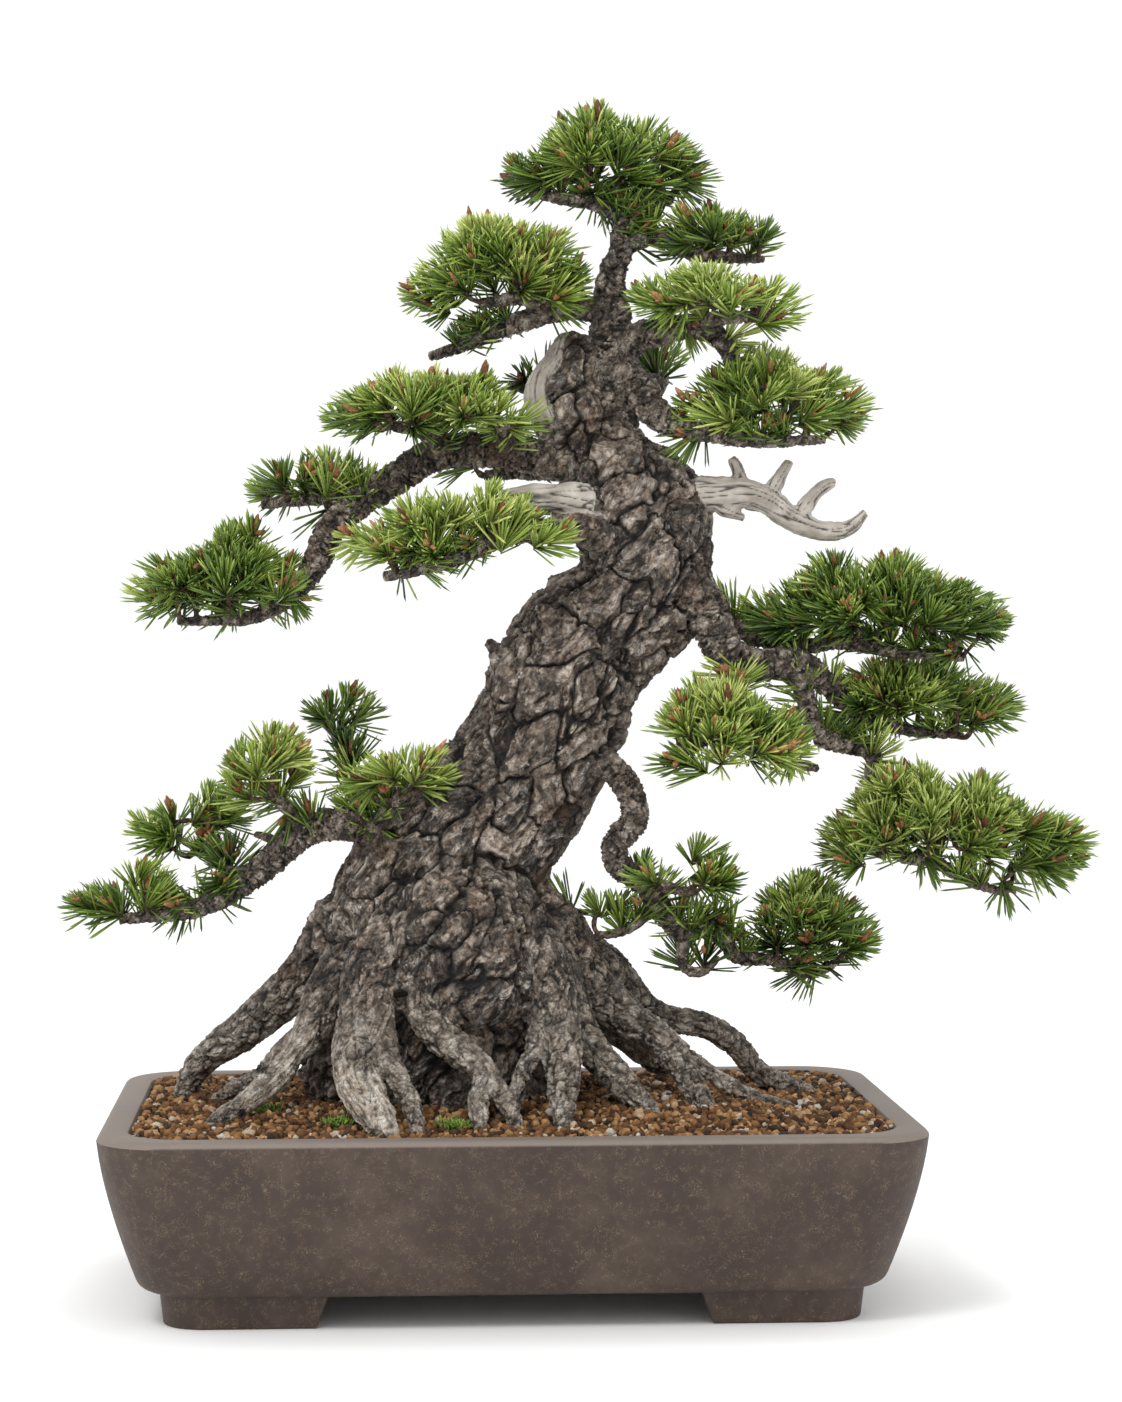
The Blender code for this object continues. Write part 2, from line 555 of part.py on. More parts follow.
def make_clip(name, x):
    """A bent wire that holds the screen down."""
    half = clip_path()
    wire = half + [(-px, pz) for px, pz in reversed(half)]
    bm = bmesh.new()
    add_tube(bm, [Vector((px, 0, pz, CLIP_RADIUS)) for px, pz in wire], WIRE_SIDES)
    clip = add_object(name, mesh_from(bm, name), material("aluminium wire", (0.55, 0.42, 0.30), 0.4, 1.0), 50)
    clip.location = (x, 0, FLOOR_TOP)
    return clip


# The tree

def tree_point(x, y, height, radius):
    point = Vector((x, y, height, radius)) * TREE_SCALE * MM
    point.z += POT_HEIGHT
    return point


def root_point(x, y, height, radius):
    point = tree_point(x, y, height, radius)
    point.x = x * ROOT_SPREAD_X * MM
    point.y = y * ROOT_SPREAD_Y * MM
    return point


def wood_mesh(gap):
    """All the limbs, fused into one skin, or the room for them with a gap all round."""
    bm = bmesh.new()
    for name, points in BOUGHS.items():
        path = [tree_point(*point) for point in points]
        if name == "trunk":
            add_tube(bm, path, TRUNK_SIDES, TRUNK_DEPTH, BARK_SWELL, gap)
        else:
            add_tube(bm, path, BOUGH_SIDES, swell=BARK_SWELL / 2, gap=gap)
    for points in ROOTS.values():
        add_tube(bm, [root_point(*point) for point in points], ROOT_SIDES, swell=BARK_SWELL, gap=gap)
    limbs = helper("limbs", mesh_from(bm, "limbs"))
    bm = bmesh.new()
    bmesh.ops.create_cube(bm, size=HEART_SIZE)
    heart = helper("heart", mesh_from(bm, "heart"))
    heart.location = tree_point(*BOUGHS["trunk"][1])[:3]
    boolean(limbs, heart, "UNION").use_self = True
    mesh = settle(limbs)
    drop_scraps(limbs)
    for blank in (limbs, heart):
        bpy.data.objects.remove(blank)
    mesh.materials.clear()
    return mesh


def make_wood():
    """Trunk, roots, branches and deadwood, grown as one."""
    bark = material("pine bark", (0.19, 0.15, 0.12), 0.9)
    wood = add_object("trunk_roots_and_branches", wood_mesh(0.0), bark)
    wood.data.shade_smooth()
    return wood


def grow_together(obj, voxel, triangles):
    """Fuses the object's overlapping shapes into one skin of about so many triangles."""
    fuse = obj.modifiers.new("fuse", "REMESH")
    fuse.mode = "VOXEL"
    fuse.voxel_size = voxel
    ease = obj.modifiers.new("ease", "SMOOTH")
    ease.factor = 0.5
    ease.iterations = 3
    fine = settle(obj)
    fine.calc_loop_triangles()
    thin = obj.modifiers.new("thin", "DECIMATE")
    thin.ratio = min(1.0, triangles / len(fine.loop_triangles))
    settle(obj)


def make_pad(name, lobes):
    """A cloud of needles, as the closed shape that its needle tips reach."""
    bm = bmesh.new()
    for x, y, height, half_x, half_y, half_z in lobes:
        lobe = bmesh.ops.create_icosphere(bm, subdivisions=2, radius=1)["verts"]
        centre = tree_point(x, y, height, 0)
        for vertex in lobe:
            flat = half_z if vertex.co.z > 0 else half_z * SAGGING
            spread = Vector((vertex.co.x * half_x, vertex.co.y * half_y, vertex.co.z * flat))
            spread *= TREE_SCALE * MM
            vertex.co = Vector(centre[:3]) + spread
    pad = add_object(name, mesh_from(bm, name))
    grow_together(pad, PAD_VOXEL, PAD_TRIANGLES)
    pad.data.materials.clear()
    pad.data.materials.append(NEEDLES)
    pad.data.shade_smooth()
    return pad


def drop_scraps(obj):
    """Keeps only the largest body, where a branch has parted a small corner from it."""
    bm = bmesh.new()
    bm.from_mesh(obj.data)
    loose = set(bm.verts)
    bodies = []
    while loose:
        body = {loose.pop()}
        edge = list(body)
        while edge:
            for link in edge.pop().link_edges:
                for vertex in link.verts:
                    if vertex in loose:
                        loose.remove(vertex)
                        body.add(vertex)
                        edge.append(vertex)
        bodies.append(body)
    bodies.sort(key=len)
    for body in bodies[:-1]:
        bmesh.ops.delete(bm, geom=list(body), context="VERTS")
    bmesh.ops.triangulate(bm, faces=bm.faces)
    bm.to_mesh(obj.data)
    bm.free()


def boxes_meet(one, other):
    lows, highs = zip(*[
        (Vector(min(v.co[i] for v in obj.data.vertices) for i in range(3)),
         Vector(max(v.co[i] for v in obj.data.vertices) for i in range(3)))
        for obj in (one, other)])
    return all(lows[0][i] < highs[1][i] and lows[1][i] < highs[0][i] for i in range(3))


def make_pads(wood_room):
    pads = []
    for name, lobes in PADS.items():
        pad = make_pad(f"needles_{name}", lobes)
        for room in [room for other, room in pads if boxes_meet(pad, other)]:
            boolean(pad, room)
        boolean(pad, wood_room)
        settle(pad)
        drop_scraps(pad)
        pads.append((pad, grown(pad, f"room of {name}", WOOD_GAP)))
    return [pad for pad, _ in pads]


# The soil and what grows on it

def soil_height(x, y):
    """The soil's surface, highest around the trunk."""
    away = (x / INSIDE_HALF_X) ** 2 + (y / INSIDE_HALF_Y) ** 2
    return SOIL_EDGE + SOIL_MOUND * max(0.0, 1 - away / 2) ** 2


def make_soil(wood_room):
    edge = inside_ring(SOIL_EDGE, GAP)
    rings = [inside_ring(FLOOR_TOP + GAP, GAP), edge]
    for share in SOIL_RINGS:
        ring = [Vector((point.x * share, point.y * share, 0)) for point in edge]
        for point in ring:
            point.z = soil_height(point.x, point.y)
        rings.append(ring)
    bm = bmesh.new()
    loft(bm, rings)
    soil = add_object("soil", mesh_from(bm, "soil"), material("fired clay granules", (0.42, 0.25, 0.13), 0.95))
    for side in (-1, 1):
        bm = bmesh.new()
        room = SCREEN_CELL * SCREEN_CELLS + 2 * GAP
        height = SCREEN_THICKNESS + 2 * CLIP_RADIUS + 3 * GAP
        bmesh.ops.create_cube(bm, size=1)
        bmesh.ops.scale(bm, vec=(room, room, 2 * height), verts=bm.verts)
        recess = helper("screen recess", mesh_from(bm, "screen recess"))
        recess.location = (side * DRAIN_SPACING / 2, 0, FLOOR_TOP)
        boolean(soil, recess)
    boolean(soil, wood_room)
    settle(soil)
    drop_scraps(soil)
    return soil


def make_moss(name, soil, wood_room, x, y, radius, height):
    """A low cushion of moss that lies on the soil."""
    x *= ROOT_SPREAD_X * MM
    y *= ROOT_SPREAD_Y * MM
    radius *= MM
    heights = []
    for step in range(MOSS_PROBES):
        turn = 2 * math.pi * step / MOSS_PROBES
        above = Vector((x + radius * math.cos(turn), y + radius * math.sin(turn), 2 * POT_HEIGHT))
        found, place, *_ = soil.ray_cast(above, Vector((0, 0, -1)))
        if found:
            heights.append(place.z)
    bm = bmesh.new()
    bmesh.ops.create_icosphere(bm, subdivisions=2, radius=1)
    for vertex in bm.verts:
        bump = 1 + MOSS_BUMPS * noise.noise(vertex.co * 2 + Vector((x, y, 0)) * 50)
        vertex.co.x *= radius * bump
        vertex.co.y *= radius * bump
        vertex.co.z = max(vertex.co.z, 0) * height * MM * bump
    bmesh.ops.remove_doubles(bm, verts=bm.verts, dist=MERGE)
    moss = add_object(f"moss_{name}", mesh_from(bm, name), MOSS_GREEN)
    moss.location = (x, y, max(heights) + GAP)
    boolean(moss, wood_room)
    return moss


# Making it

for old in list(bpy.data.objects):
    bpy.data.objects.remove(old)

NEEDLES = material("pine needles", (0.13, 0.22, 0.05), 0.55)
MOSS_GREEN = material("moss", (0.16, 0.24, 0.05), 0.95)

pieces = [make_pot()]
for side_name, side_x in (("left", -DRAIN_SPACING / 2), ("right", DRAIN_SPACING / 2)):
    pieces.append(make_screen(f"drain_screen_{side_name}", side_x))
    pieces.append(make_clip(f"screen_clip_{side_name}", side_x))
tree = make_wood()
tree_room = helper("room of the wood", wood_mesh(WOOD_GAP))
pieces.append(tree)
pieces += make_pads(tree_room)
ground = make_soil(tree_room)
pieces.append(ground)
for moss_name, moss_size in MOSS.items():
    pieces.append(make_moss(moss_name, ground, tree_room, *moss_size))

# The middle of the whole box goes over the origin
bpy.context.view_layer.update()
corners = [piece.matrix_world @ Vector(corner) for piece in pieces for corner in piece.bound_box]
bonsai = bpy.data.objects.new("bonsai", None)
bpy.context.scene.collection.objects.link(bonsai)
for made in bpy.context.scene.collection.objects:
    if made is not bonsai:
        made.parent = bonsai
for axis in (0, 1):
    values = [corner[axis] for corner in corners]
    bonsai.location[axis] = -(min(values) + max(values)) / 2
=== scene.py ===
import math

import bpy
import numpy as np
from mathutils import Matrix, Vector, noise
from mathutils.bvhtree import BVHTree
from mathutils.geometry import interpolate_bezier
from mathutils.kdtree import KDTree


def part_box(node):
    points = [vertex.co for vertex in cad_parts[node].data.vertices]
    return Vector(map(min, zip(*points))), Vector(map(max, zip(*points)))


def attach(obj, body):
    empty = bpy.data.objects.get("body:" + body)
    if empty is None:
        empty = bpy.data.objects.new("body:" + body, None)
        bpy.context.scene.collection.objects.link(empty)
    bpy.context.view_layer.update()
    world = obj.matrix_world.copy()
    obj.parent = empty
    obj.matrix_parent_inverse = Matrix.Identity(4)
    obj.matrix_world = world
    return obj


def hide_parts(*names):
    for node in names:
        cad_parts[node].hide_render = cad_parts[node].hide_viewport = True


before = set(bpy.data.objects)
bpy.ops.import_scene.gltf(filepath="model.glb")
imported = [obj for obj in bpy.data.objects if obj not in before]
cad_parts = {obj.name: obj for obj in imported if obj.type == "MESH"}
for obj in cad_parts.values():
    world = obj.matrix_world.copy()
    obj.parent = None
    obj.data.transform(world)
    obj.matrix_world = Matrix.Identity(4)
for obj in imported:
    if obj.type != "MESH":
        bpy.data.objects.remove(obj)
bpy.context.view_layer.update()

mm = 0.001
potLow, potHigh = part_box("pot")
potMiddle = (potLow + potHigh) / 2
rimHeight = potHigh.z
bpy.ops.object.select_all(action="DESELECT")


# Small tools

def fromPot(x, y, height):
    # millimetres from the pot's middle, and above its rim
    return Vector((potMiddle.x + x * mm, potMiddle.y + y * mm, rimHeight + height * mm))


def toLinear(hexColour):
    channels = [int(hexColour[i:i + 2], 16) / 255 for i in (1, 3, 5)]
    return [c / 12.92 if c <= 0.04045 else ((c + 0.055) / 1.055) ** 2.4 for c in channels] + [1.0]


def smoothStep(low, high, value):
    share = np.clip((value - low) / (high - low), 0, 1)
    return share * share * (3 - 2 * share)


def addNode(tree, kind, values=None, links=None, ramp=None, **settings):
    node = tree.nodes.new(kind)
    for name, value in settings.items():
        setattr(node, name, value)
    if ramp:
        while len(node.color_ramp.elements) < len(ramp):
            node.color_ramp.elements.new(1.0)
        for element, (place, colour) in zip(node.color_ramp.elements, ramp):
            element.position = place
            element.color = toLinear(colour) if isinstance(colour, str) else (colour, colour, colour, 1)
    for name, value in (values or {}).items():
        node.inputs[name].default_value = value
    for name, source in (links or {}).items():      # a node stands for its first output
        tree.links.new(getattr(source, "outputs", [source])[0], node.inputs[name])
    return node


def newMaterial(name, roughness, **values):
    # the material, its tree and shader, and the coordinates that its patterns lie in
    made = bpy.data.materials.new(name)
    made.use_nodes = True
    tree = made.node_tree
    shader = tree.nodes["Principled BSDF"]
    shader.inputs["Roughness"].default_value = roughness
    for socket, value in values.items():
        shader.inputs[socket].default_value = value
    return made, tree, shader, addNode(tree, "ShaderNodeTexCoord").outputs["Object"]


# settings for a mix of two colours, and for one that darkens the first by the second
ofColours = {"data_type": "RGBA"}
darkening = {"data_type": "RGBA", "blend_type": "MULTIPLY"}


def activate(obj):
    bpy.ops.object.select_all(action="DESELECT")
    obj.select_set(True)
    bpy.context.view_layer.objects.active = obj
    return obj


def applyModifier(obj, kind, **settings):
    activate(obj)
    modifier = obj.modifiers.new(kind.lower(), kind)
    for name, value in settings.items():
        setattr(modifier, name, value)
    bpy.ops.object.modifier_apply(modifier=modifier.name)


def selectEdges(obj, wanted):
    # leaves the object in edit mode with the edges for which wanted(start, end) holds selected
    activate(obj)
    bpy.ops.object.mode_set(mode="EDIT")
    bpy.ops.mesh.select_mode(type="EDGE")
    bpy.ops.mesh.select_all(action="DESELECT")
    bpy.ops.object.mode_set(mode="OBJECT")
    for edge in obj.data.edges:
        edge.select = wanted(*[obj.data.vertices[i].co for i in edge.vertices])
    bpy.ops.object.mode_set(mode="EDIT")


def isUpright(start, end):
    return abs(start.z - end.z) > 0.1 * mm


def joined(objects, name):
    activate(objects[0])
    for obj in objects:
        obj.select_set(True)
    bpy.ops.object.join()
    whole = bpy.context.active_object
    whole.name = name
    bpy.ops.object.transform_apply()
    return whole


def points(obj):
    flat = np.empty(len(obj.data.vertices) * 3, np.float32)
    obj.data.vertices.foreach_get("co", flat)
    return flat.reshape(-1, 3).astype(np.float64)


def setAttribute(mesh, name, values):
    layer = mesh.attributes.new(name, "FLOAT", "POINT")
    layer.data.foreach_set("value", np.asarray(values, np.float32))


def meshFrom(name, vertices, faces, material, attributes=None):
    # one object from arrays, for pieces of thousands of copies
    mesh = bpy.data.meshes.new(name)
    size = faces.shape[1]
    mesh.vertices.add(len(vertices))
    mesh.vertices.foreach_set("co", np.asarray(vertices, np.float32).ravel())
    mesh.loops.add(faces.size)
    mesh.loops.foreach_set("vertex_index", faces.astype(np.int32).ravel())
    mesh.polygons.add(len(faces))
    mesh.polygons.foreach_set("loop_start", np.arange(0, faces.size, size, dtype=np.int32))
    mesh.polygons.foreach_set("use_smooth", np.ones(len(faces), bool))
    mesh.update(calc_edges=True)
    for key, values in (attributes or {}).items():
        setAttribute(mesh, key, values)
    mesh.materials.append(material)
    made = bpy.data.objects.new(name, mesh)
    bpy.context.scene.collection.objects.link(made)
    return made


def asTriangles(obj):
    # the vertices and triangles of a small modelled shape, which is then removed
    mesh = obj.data
    mesh.calc_loop_triangles()
    corners = np.array([triangle.vertices[:] for triangle in mesh.loop_triangles])
    shape = (points(obj), corners)
    bpy.data.objects.remove(obj)
    return shape


def finishPiece(piece, slot, *nodes):
    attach(piece, "root")
    if nodes:
        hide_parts(*nodes)


# Camera, light and floor

view = {
    "camera": (-94.2, -2113.1, 291.7),
    "turn": 3.5,
    "dip": 1.0,
    "lens": 85.5,
    "floorSize": 60.0,
    "world": 1.05,
    "aim": (0, 0, 0.3),     # where the lights point
}
camera = bpy.data.objects.new("camera", bpy.data.cameras.new("camera"))
bpy.context.scene.collection.objects.link(camera)
camera.location = fromPot(*view["camera"])
camera.rotation_euler = (math.radians(90 - view["dip"]), 0, math.radians(-view["turn"]))
camera.data.lens = view["lens"]
bpy.context.scene.camera = camera
bpy.context.scene.view_settings.view_transform = "Standard"

world = bpy.data.worlds.new("studio")
bpy.context.scene.world = world
world.use_nodes = True
world.node_tree.nodes["Background"].inputs["Color"].default_value = (1, 1, 1, 1)
world.node_tree.nodes["Background"].inputs["Strength"].default_value = view["world"]

# place, size in metres, power in watts
softBoxes = {
    "key": ((-1.1, -1.7, 2.4), 0.8, 30),
    "fill": ((2.1, -1.5, 1.2), 1.4, 3),
    "top": ((0.2, 0.4, 2.6), 1.2, 12),
}
for name, (place, size, power) in softBoxes.items():
    bpy.ops.object.light_add(type="AREA", location=place)
    light = bpy.context.active_object
    light.name = name
    light.data.size = size
    light.data.energy = power
    light.rotation_euler = (Vector(view["aim"]) - Vector(place)).to_track_quat("-Z", "Y").to_euler()

paper, tree, shader, space = newMaterial("paperFloor", 0.9)
grain = addNode(tree, "ShaderNodeTexNoise", {"Scale": 3}, {"Vector": space})
tone = addNode(
    tree, "ShaderNodeValToRGB", links={"Fac": grain}, ramp=[(0, "#fcfcfc"), (1, "#fefefe")])
tree.links.new(tone.outputs[0], shader.inputs["Base Color"])
bpy.ops.mesh.primitive_plane_add(size=view["floorSize"])
floor = bpy.context.active_object
floor.name = "floor"
floor.data.materials.append(paper)
print("stage: studio")


# Finishes

# of each finish its tree, shader, colour and bumps, as (height, strength, depth in millimetres)
surfaces = []

# corky plates, silvery where weathered, with painted highlights on flake edges and painted shade in the
# crevices
pineBark, tree, shader, space = newMaterial("pineBark", 0.66, IOR=1.5)
plate, flake, shade, pale, layers = [
    addNode(tree, "ShaderNodeAttribute", attribute_name=name).outputs["Fac"]
    for name in ("plate", "flake", "shade", "pale", "layers")]
# patches 7 mm wide, scurf of 2.2 mm, weather over 45 mm, and what bends the flakes
coarse, fine, broad, wander = [
    addNode(
        tree, "ShaderNodeTexNoise", {"Scale": 1000 / size, "Detail": detail, "Roughness": rough},
        {"Vector": space})
    for size, detail, rough in ((7, 6, 0.6), (2.2, 4, 0.7), (45, 3, 0.5), (10, 3, 0.5))]
warped = addNode(
    tree, "ShaderNodeVectorMath", {1: (6 * mm, 6 * mm, 6 * mm)}, {0: wander.outputs["Color"], 2: space},
    operation="MULTIPLY_ADD")
# the flakes are drawn out the way that the trunk leans
drawn = addNode(
    tree, "ShaderNodeMapping", {"Rotation": (0, math.radians(-51), 0), "Scale": (2.1, 1, 1)},
    {"Vector": warped}, vector_type="TEXTURE")
scales = addNode(tree, "ShaderNodeTexVoronoi", {"Scale": 1000 / 5.0}, {"Vector": drawn})
chips = addNode(tree, "ShaderNodeTexVoronoi", {"Scale": 1000 / 2.6}, {"Vector": drawn})
scaly = addNode(
    tree, "ShaderNodeMix", {"Factor": 0.42}, {"A": scales.outputs["Color"], "B": chips.outputs["Color"]},
    **ofColours)
mixed = addNode(tree, "ShaderNodeMath", {1: 0.22}, {0: shade}, operation="MULTIPLY")
mixed = addNode(tree, "ShaderNodeMath", links={0: mixed, 1: coarse}, operation="ADD")
mixed = addNode(
    tree, "ShaderNodeMath", {1: 0.34}, {0: scaly.outputs[2], 2: mixed}, operation="MULTIPLY_ADD")
body = addNode(
    tree, "ShaderNodeValToRGB", links={"Fac": mixed},
    ramp=[(0.54, "#281d14"), (0.66, "#5b4c3e"), (0.77, "#8b7969"), (0.92, "#beb1a2")])
rust = addNode(tree, "ShaderNodeValToRGB", links={"Fac": broad}, ramp=[(0.57, 0.0), (0.70, 0.4)])
body = addNode(
    tree, "ShaderNodeMix", {"B": toLinear("#71492a")}, {"Factor": rust, "A": body}, **ofColours)
# each layer of cork ends in a raised edge with a painted highlight over weathered grey, and a painted shadow
# line under it
lips = addNode(tree, "ShaderNodeMath", {1: 4.5}, {0: coarse, 2: layers}, operation="MULTIPLY_ADD")
lips = addNode(tree, "ShaderNodeMath", links={0: lips}, operation="FRACT")
paintedLipHighlight = addNode(
    tree, "ShaderNodeValToRGB", links={"Fac": lips},
    ramp=[(0.0, 0.0), (0.1, 0.3), (0.5, 0.5), (0.85, 1.0), (0.97, 1.0), (1.0, 0.0)])
# painted highlight, partly real weathered grey: silver where a flake's edge, a layer's lip and a weathered
# patch meet
weathered = addNode(tree, "ShaderNodeValToRGB", links={"Fac": broad}, ramp=[(0.38, 1.0), (0.62, 0.4)])
silverAndPaintedHighlight = addNode(tree, "ShaderNodeValToRGB", links={"Fac": scaly.outputs[2]}, ramp=[(0.42, 0.35), (0.56, 1.0)])
for share in (flake, paintedLipHighlight, weathered):
    silverAndPaintedHighlight = addNode(tree, "ShaderNodeMath", links={0: silverAndPaintedHighlight, 1: share}, operation="MULTIPLY")
body = addNode(
    tree, "ShaderNodeMix", {"B": toLinear("#d6cec4")}, {"Factor": silverAndPaintedHighlight, "A": body.outputs[2]}, **ofColours)
# painted shade: darker towards the edges of the scales, in the cracks between them
paintedScaleEdgeShade = addNode(
    tree, "ShaderNodeValToRGB", links={"Fac": scales.outputs["Distance"]}, ramp=[(0.42, 1.0), (0.8, 0.45)])
body = addNode(
    tree, "ShaderNodeMix", {"Factor": 1.0}, {"A": body.outputs[2], "B": paintedScaleEdgeShade}, **darkening)
rootTone = addNode(
    tree, "ShaderNodeValToRGB", links={"Fac": coarse},
    ramp=[(0.32, "#6d5f51"), (0.47, "#b3a594"), (0.62, "#ded6ca")])
body = addNode(
    tree, "ShaderNodeMix", links={"Factor": pale, "A": body.outputs[2], "B": rootTone}, **ofColours)
# painted shadow: a dark line at the foot of each layer's lip
paintedUndercutShadow = addNode(
    tree, "ShaderNodeValToRGB", links={"Fac": lips},
    ramp=[(0.0, 0.3), (0.18, 1.0), (0.98, 1.0), (1.0, 0.3)])
# painted shade: dark in the crevices between plates, the gaps between chips and the grooves, where the plate
# value is low
depth = addNode(tree, "ShaderNodeValToRGB", links={"Fac": plate}, ramp=[(0.0, 0.05), (0.4, 0.5), (0.8, 1.0)])
for darker in (paintedUndercutShadow, depth):
    body = addNode(
        tree, "ShaderNodeMix", {"Factor": 1.0}, {"A": body.outputs[2], "B": darker}, **darkening)
surfaces.append((
    tree, shader, body.outputs[2], [(fine, 0.7, 0.7), (scaly.outputs[2], 0.7, 2), (lips, 0.9, 1.3)]))

# bleached, finely checked
deadWood, tree, shader, space = newMaterial("weatheredDeadwood", 0.7, IOR=1.45)
grooveMaskForShade = addNode(tree, "ShaderNodeAttribute", attribute_name="flake").outputs["Fac"]
cloud = addNode(tree, "ShaderNodeTexNoise", {"Scale": 1000 / 14, "Detail": 5}, {"Vector": space})
speck = addNode(tree, "ShaderNodeTexNoise", {"Scale": 1000 / 1.6, "Detail": 3}, {"Vector": space})
body = addNode(
    tree, "ShaderNodeValToRGB", links={"Fac": cloud},
    ramp=[(0.3, "#8f867c"), (0.55, "#b0a89e"), (0.75, "#c9c3ba")])
# painted shade: dark in the sunken grooves along the grain
groove = addNode(tree, "ShaderNodeValToRGB", links={"Fac": grooveMaskForShade}, ramp=[(0.0, 0.16), (0.55, 1.0)])
body = addNode(
    tree, "ShaderNodeMix", {"Factor": 1.0}, {"A": body, "B": groove}, **darkening)
surfaces.append((tree, shader, body.outputs[2], [(speck, 0.5, 0.5)]))

# rough with the scars of fallen needles
twigBark, tree, shader, space = newMaterial("twigBark", 0.85, IOR=1.45)
scars = addNode(tree, "ShaderNodeTexVoronoi", {"Scale": 1000 / 2.4}, {"Vector": space})
body = addNode(
    tree, "ShaderNodeValToRGB", links={"Fac": scars},
    ramp=[(0.1, "#6d5a48"), (0.45, "#4a3a2d"), (0.8, "#2a1f18")])
surfaces.append((tree, shader, body.outputs[0], [(scars, 0.8, 0.8)]))

# waxy; the tint carries painted light, paler on the lit clouds and towards their tops, and each needle darkens
# towards its base
needleGreen, tree, shader, space = newMaterial("pineNeedles", 0.42, IOR=1.45)
tint = addNode(tree, "ShaderNodeAttribute", attribute_name="tint").outputs["Fac"]
along = addNode(tree, "ShaderNodeAttribute", attribute_name="along").outputs["Fac"]
leaf = addNode(
    tree, "ShaderNodeValToRGB", links={"Fac": tint},
    ramp=[(0.0, "#2d401c"), (0.35, "#58742c"), (0.7, "#8ba242"), (1.0, "#c4cf76")])
tip = addNode(tree, "ShaderNodeValToRGB", links={"Fac": along}, ramp=[(0.0, 0.55), (0.35, 1.0)])
leaf = addNode(
    tree, "ShaderNodeMix", {"Factor": 1.0}, {"A": leaf, "B": tip}, **darkening)
surfaces.append((tree, shader, leaf.outputs[2], []))

# papery brown scales with resin
budScales, tree, shader, space = newMaterial("budScales", 0.6, IOR=1.45)
tint = addNode(tree, "ShaderNodeAttribute", attribute_name="tint").outputs["Fac"]
scaly = addNode(tree, "ShaderNodeTexVoronoi", {"Scale": 1000 / 1.5}, {"Vector": space})
body = addNode(
    tree, "ShaderNodeValToRGB", links={"Fac": tint},
    ramp=[(0.0, "#6d3f26"), (0.5, "#97623a"), (1.0, "#bd8c5c")])
dark = addNode(tree, "ShaderNodeValToRGB", links={"Fac": scaly}, ramp=[(0.3, 1.0), (0.9, 0.45)])
body = addNode(
    tree, "ShaderNodeMix", {"Factor": 1.0}, {"A": body, "B": dark}, **darkening)
surfaces.append((tree, shader, body.outputs[2], [(scaly, 0.6, 0.6)]))

# fired clay, dry to the touch
stoneware, tree, shader, space = newMaterial("unglazedStoneware", 0.62, IOR=1.5)
cloud = addNode(
    tree, "ShaderNodeTexNoise", {"Scale": 1000 / 45, "Detail": 6, "Roughness": 0.6}, {"Vector": space})
grit = addNode(tree, "ShaderNodeTexNoise", {"Scale": 1000 / 1.8, "Detail": 3}, {"Vector": space})
curl = addNode(
    tree, "ShaderNodeTexNoise", {"Scale": 1000 / 4.5, "Detail": 3, "Distortion": 2.2}, {"Vector": space})
density = addNode(tree, "ShaderNodeTexNoise", {"Scale": 1000 / 6, "Detail": 4}, {"Vector": space})
body = addNode(
    tree, "ShaderNodeValToRGB", links={"Fac": cloud},
    ramp=[(0.3, "#32251e"), (0.5, "#3d2e26"), (0.7, "#4f4037")])
fibre = addNode(
    tree, "ShaderNodeValToRGB", links={"Fac": curl},
    ramp=[(0.475, 0.0), (0.495, 1.0), (0.505, 1.0), (0.525, 0.0)])
patch = addNode(tree, "ShaderNodeValToRGB", links={"Fac": density}, ramp=[(0.44, 0.0), (0.6, 0.55)])
fibre = addNode(tree, "ShaderNodeMath", links={0: fibre, 1: patch}, operation="MULTIPLY")
body = addNode(
    tree, "ShaderNodeMix", {"B": toLinear("#8e7c60")}, {"Factor": fibre, "A": body}, **ofColours)
# painted light: what faces up is made lighter
facing = addNode(tree, "ShaderNodeNewGeometry")
height = addNode(tree, "ShaderNodeSeparateXYZ", links={0: facing.outputs["Normal"]})
lip = addNode(tree, "ShaderNodeValToRGB", links={"Fac": height.outputs["Z"]}, ramp=[(0.1, 0.0), (0.5, 0.75)])
body = addNode(
    tree, "ShaderNodeMix", {"B": toLinear("#83786f")}, {"Factor": lip, "A": body.outputs[2]}, **ofColours)
surfaces.append((tree, shader, body.outputs[2], [(grit, 0.35, 0.4)]))

# baked clay, some pumice, dusty
clayGrain, tree, shader, space = newMaterial("firedClayGrains", 0.9, IOR=1.45)
tint = addNode(tree, "ShaderNodeAttribute", attribute_name="tint").outputs["Fac"]
dust = addNode(tree, "ShaderNodeTexNoise", {"Scale": 1000 / 2.5, "Detail": 4}, {"Vector": space})
body = addNode(
    tree, "ShaderNodeValToRGB", links={"Fac": tint},
    ramp=[(0.0, "#22160d"), (0.3, "#52361e"), (0.6, "#8a6036"), (0.85, "#bd9262"), (0.95, "#c4b49c"),
          (1.0, "#c9c2b6")])
dusty = addNode(tree, "ShaderNodeValToRGB", links={"Fac": dust}, ramp=[(0.3, 0.5), (0.65, 1.0)])
body = addNode(
    tree, "ShaderNodeMix", {"Factor": 1.0}, {"A": body, "B": dusty}, **darkening)
surfaces.append((tree, shader, body.outputs[2], [(dust, 0.6, 0.5)]))

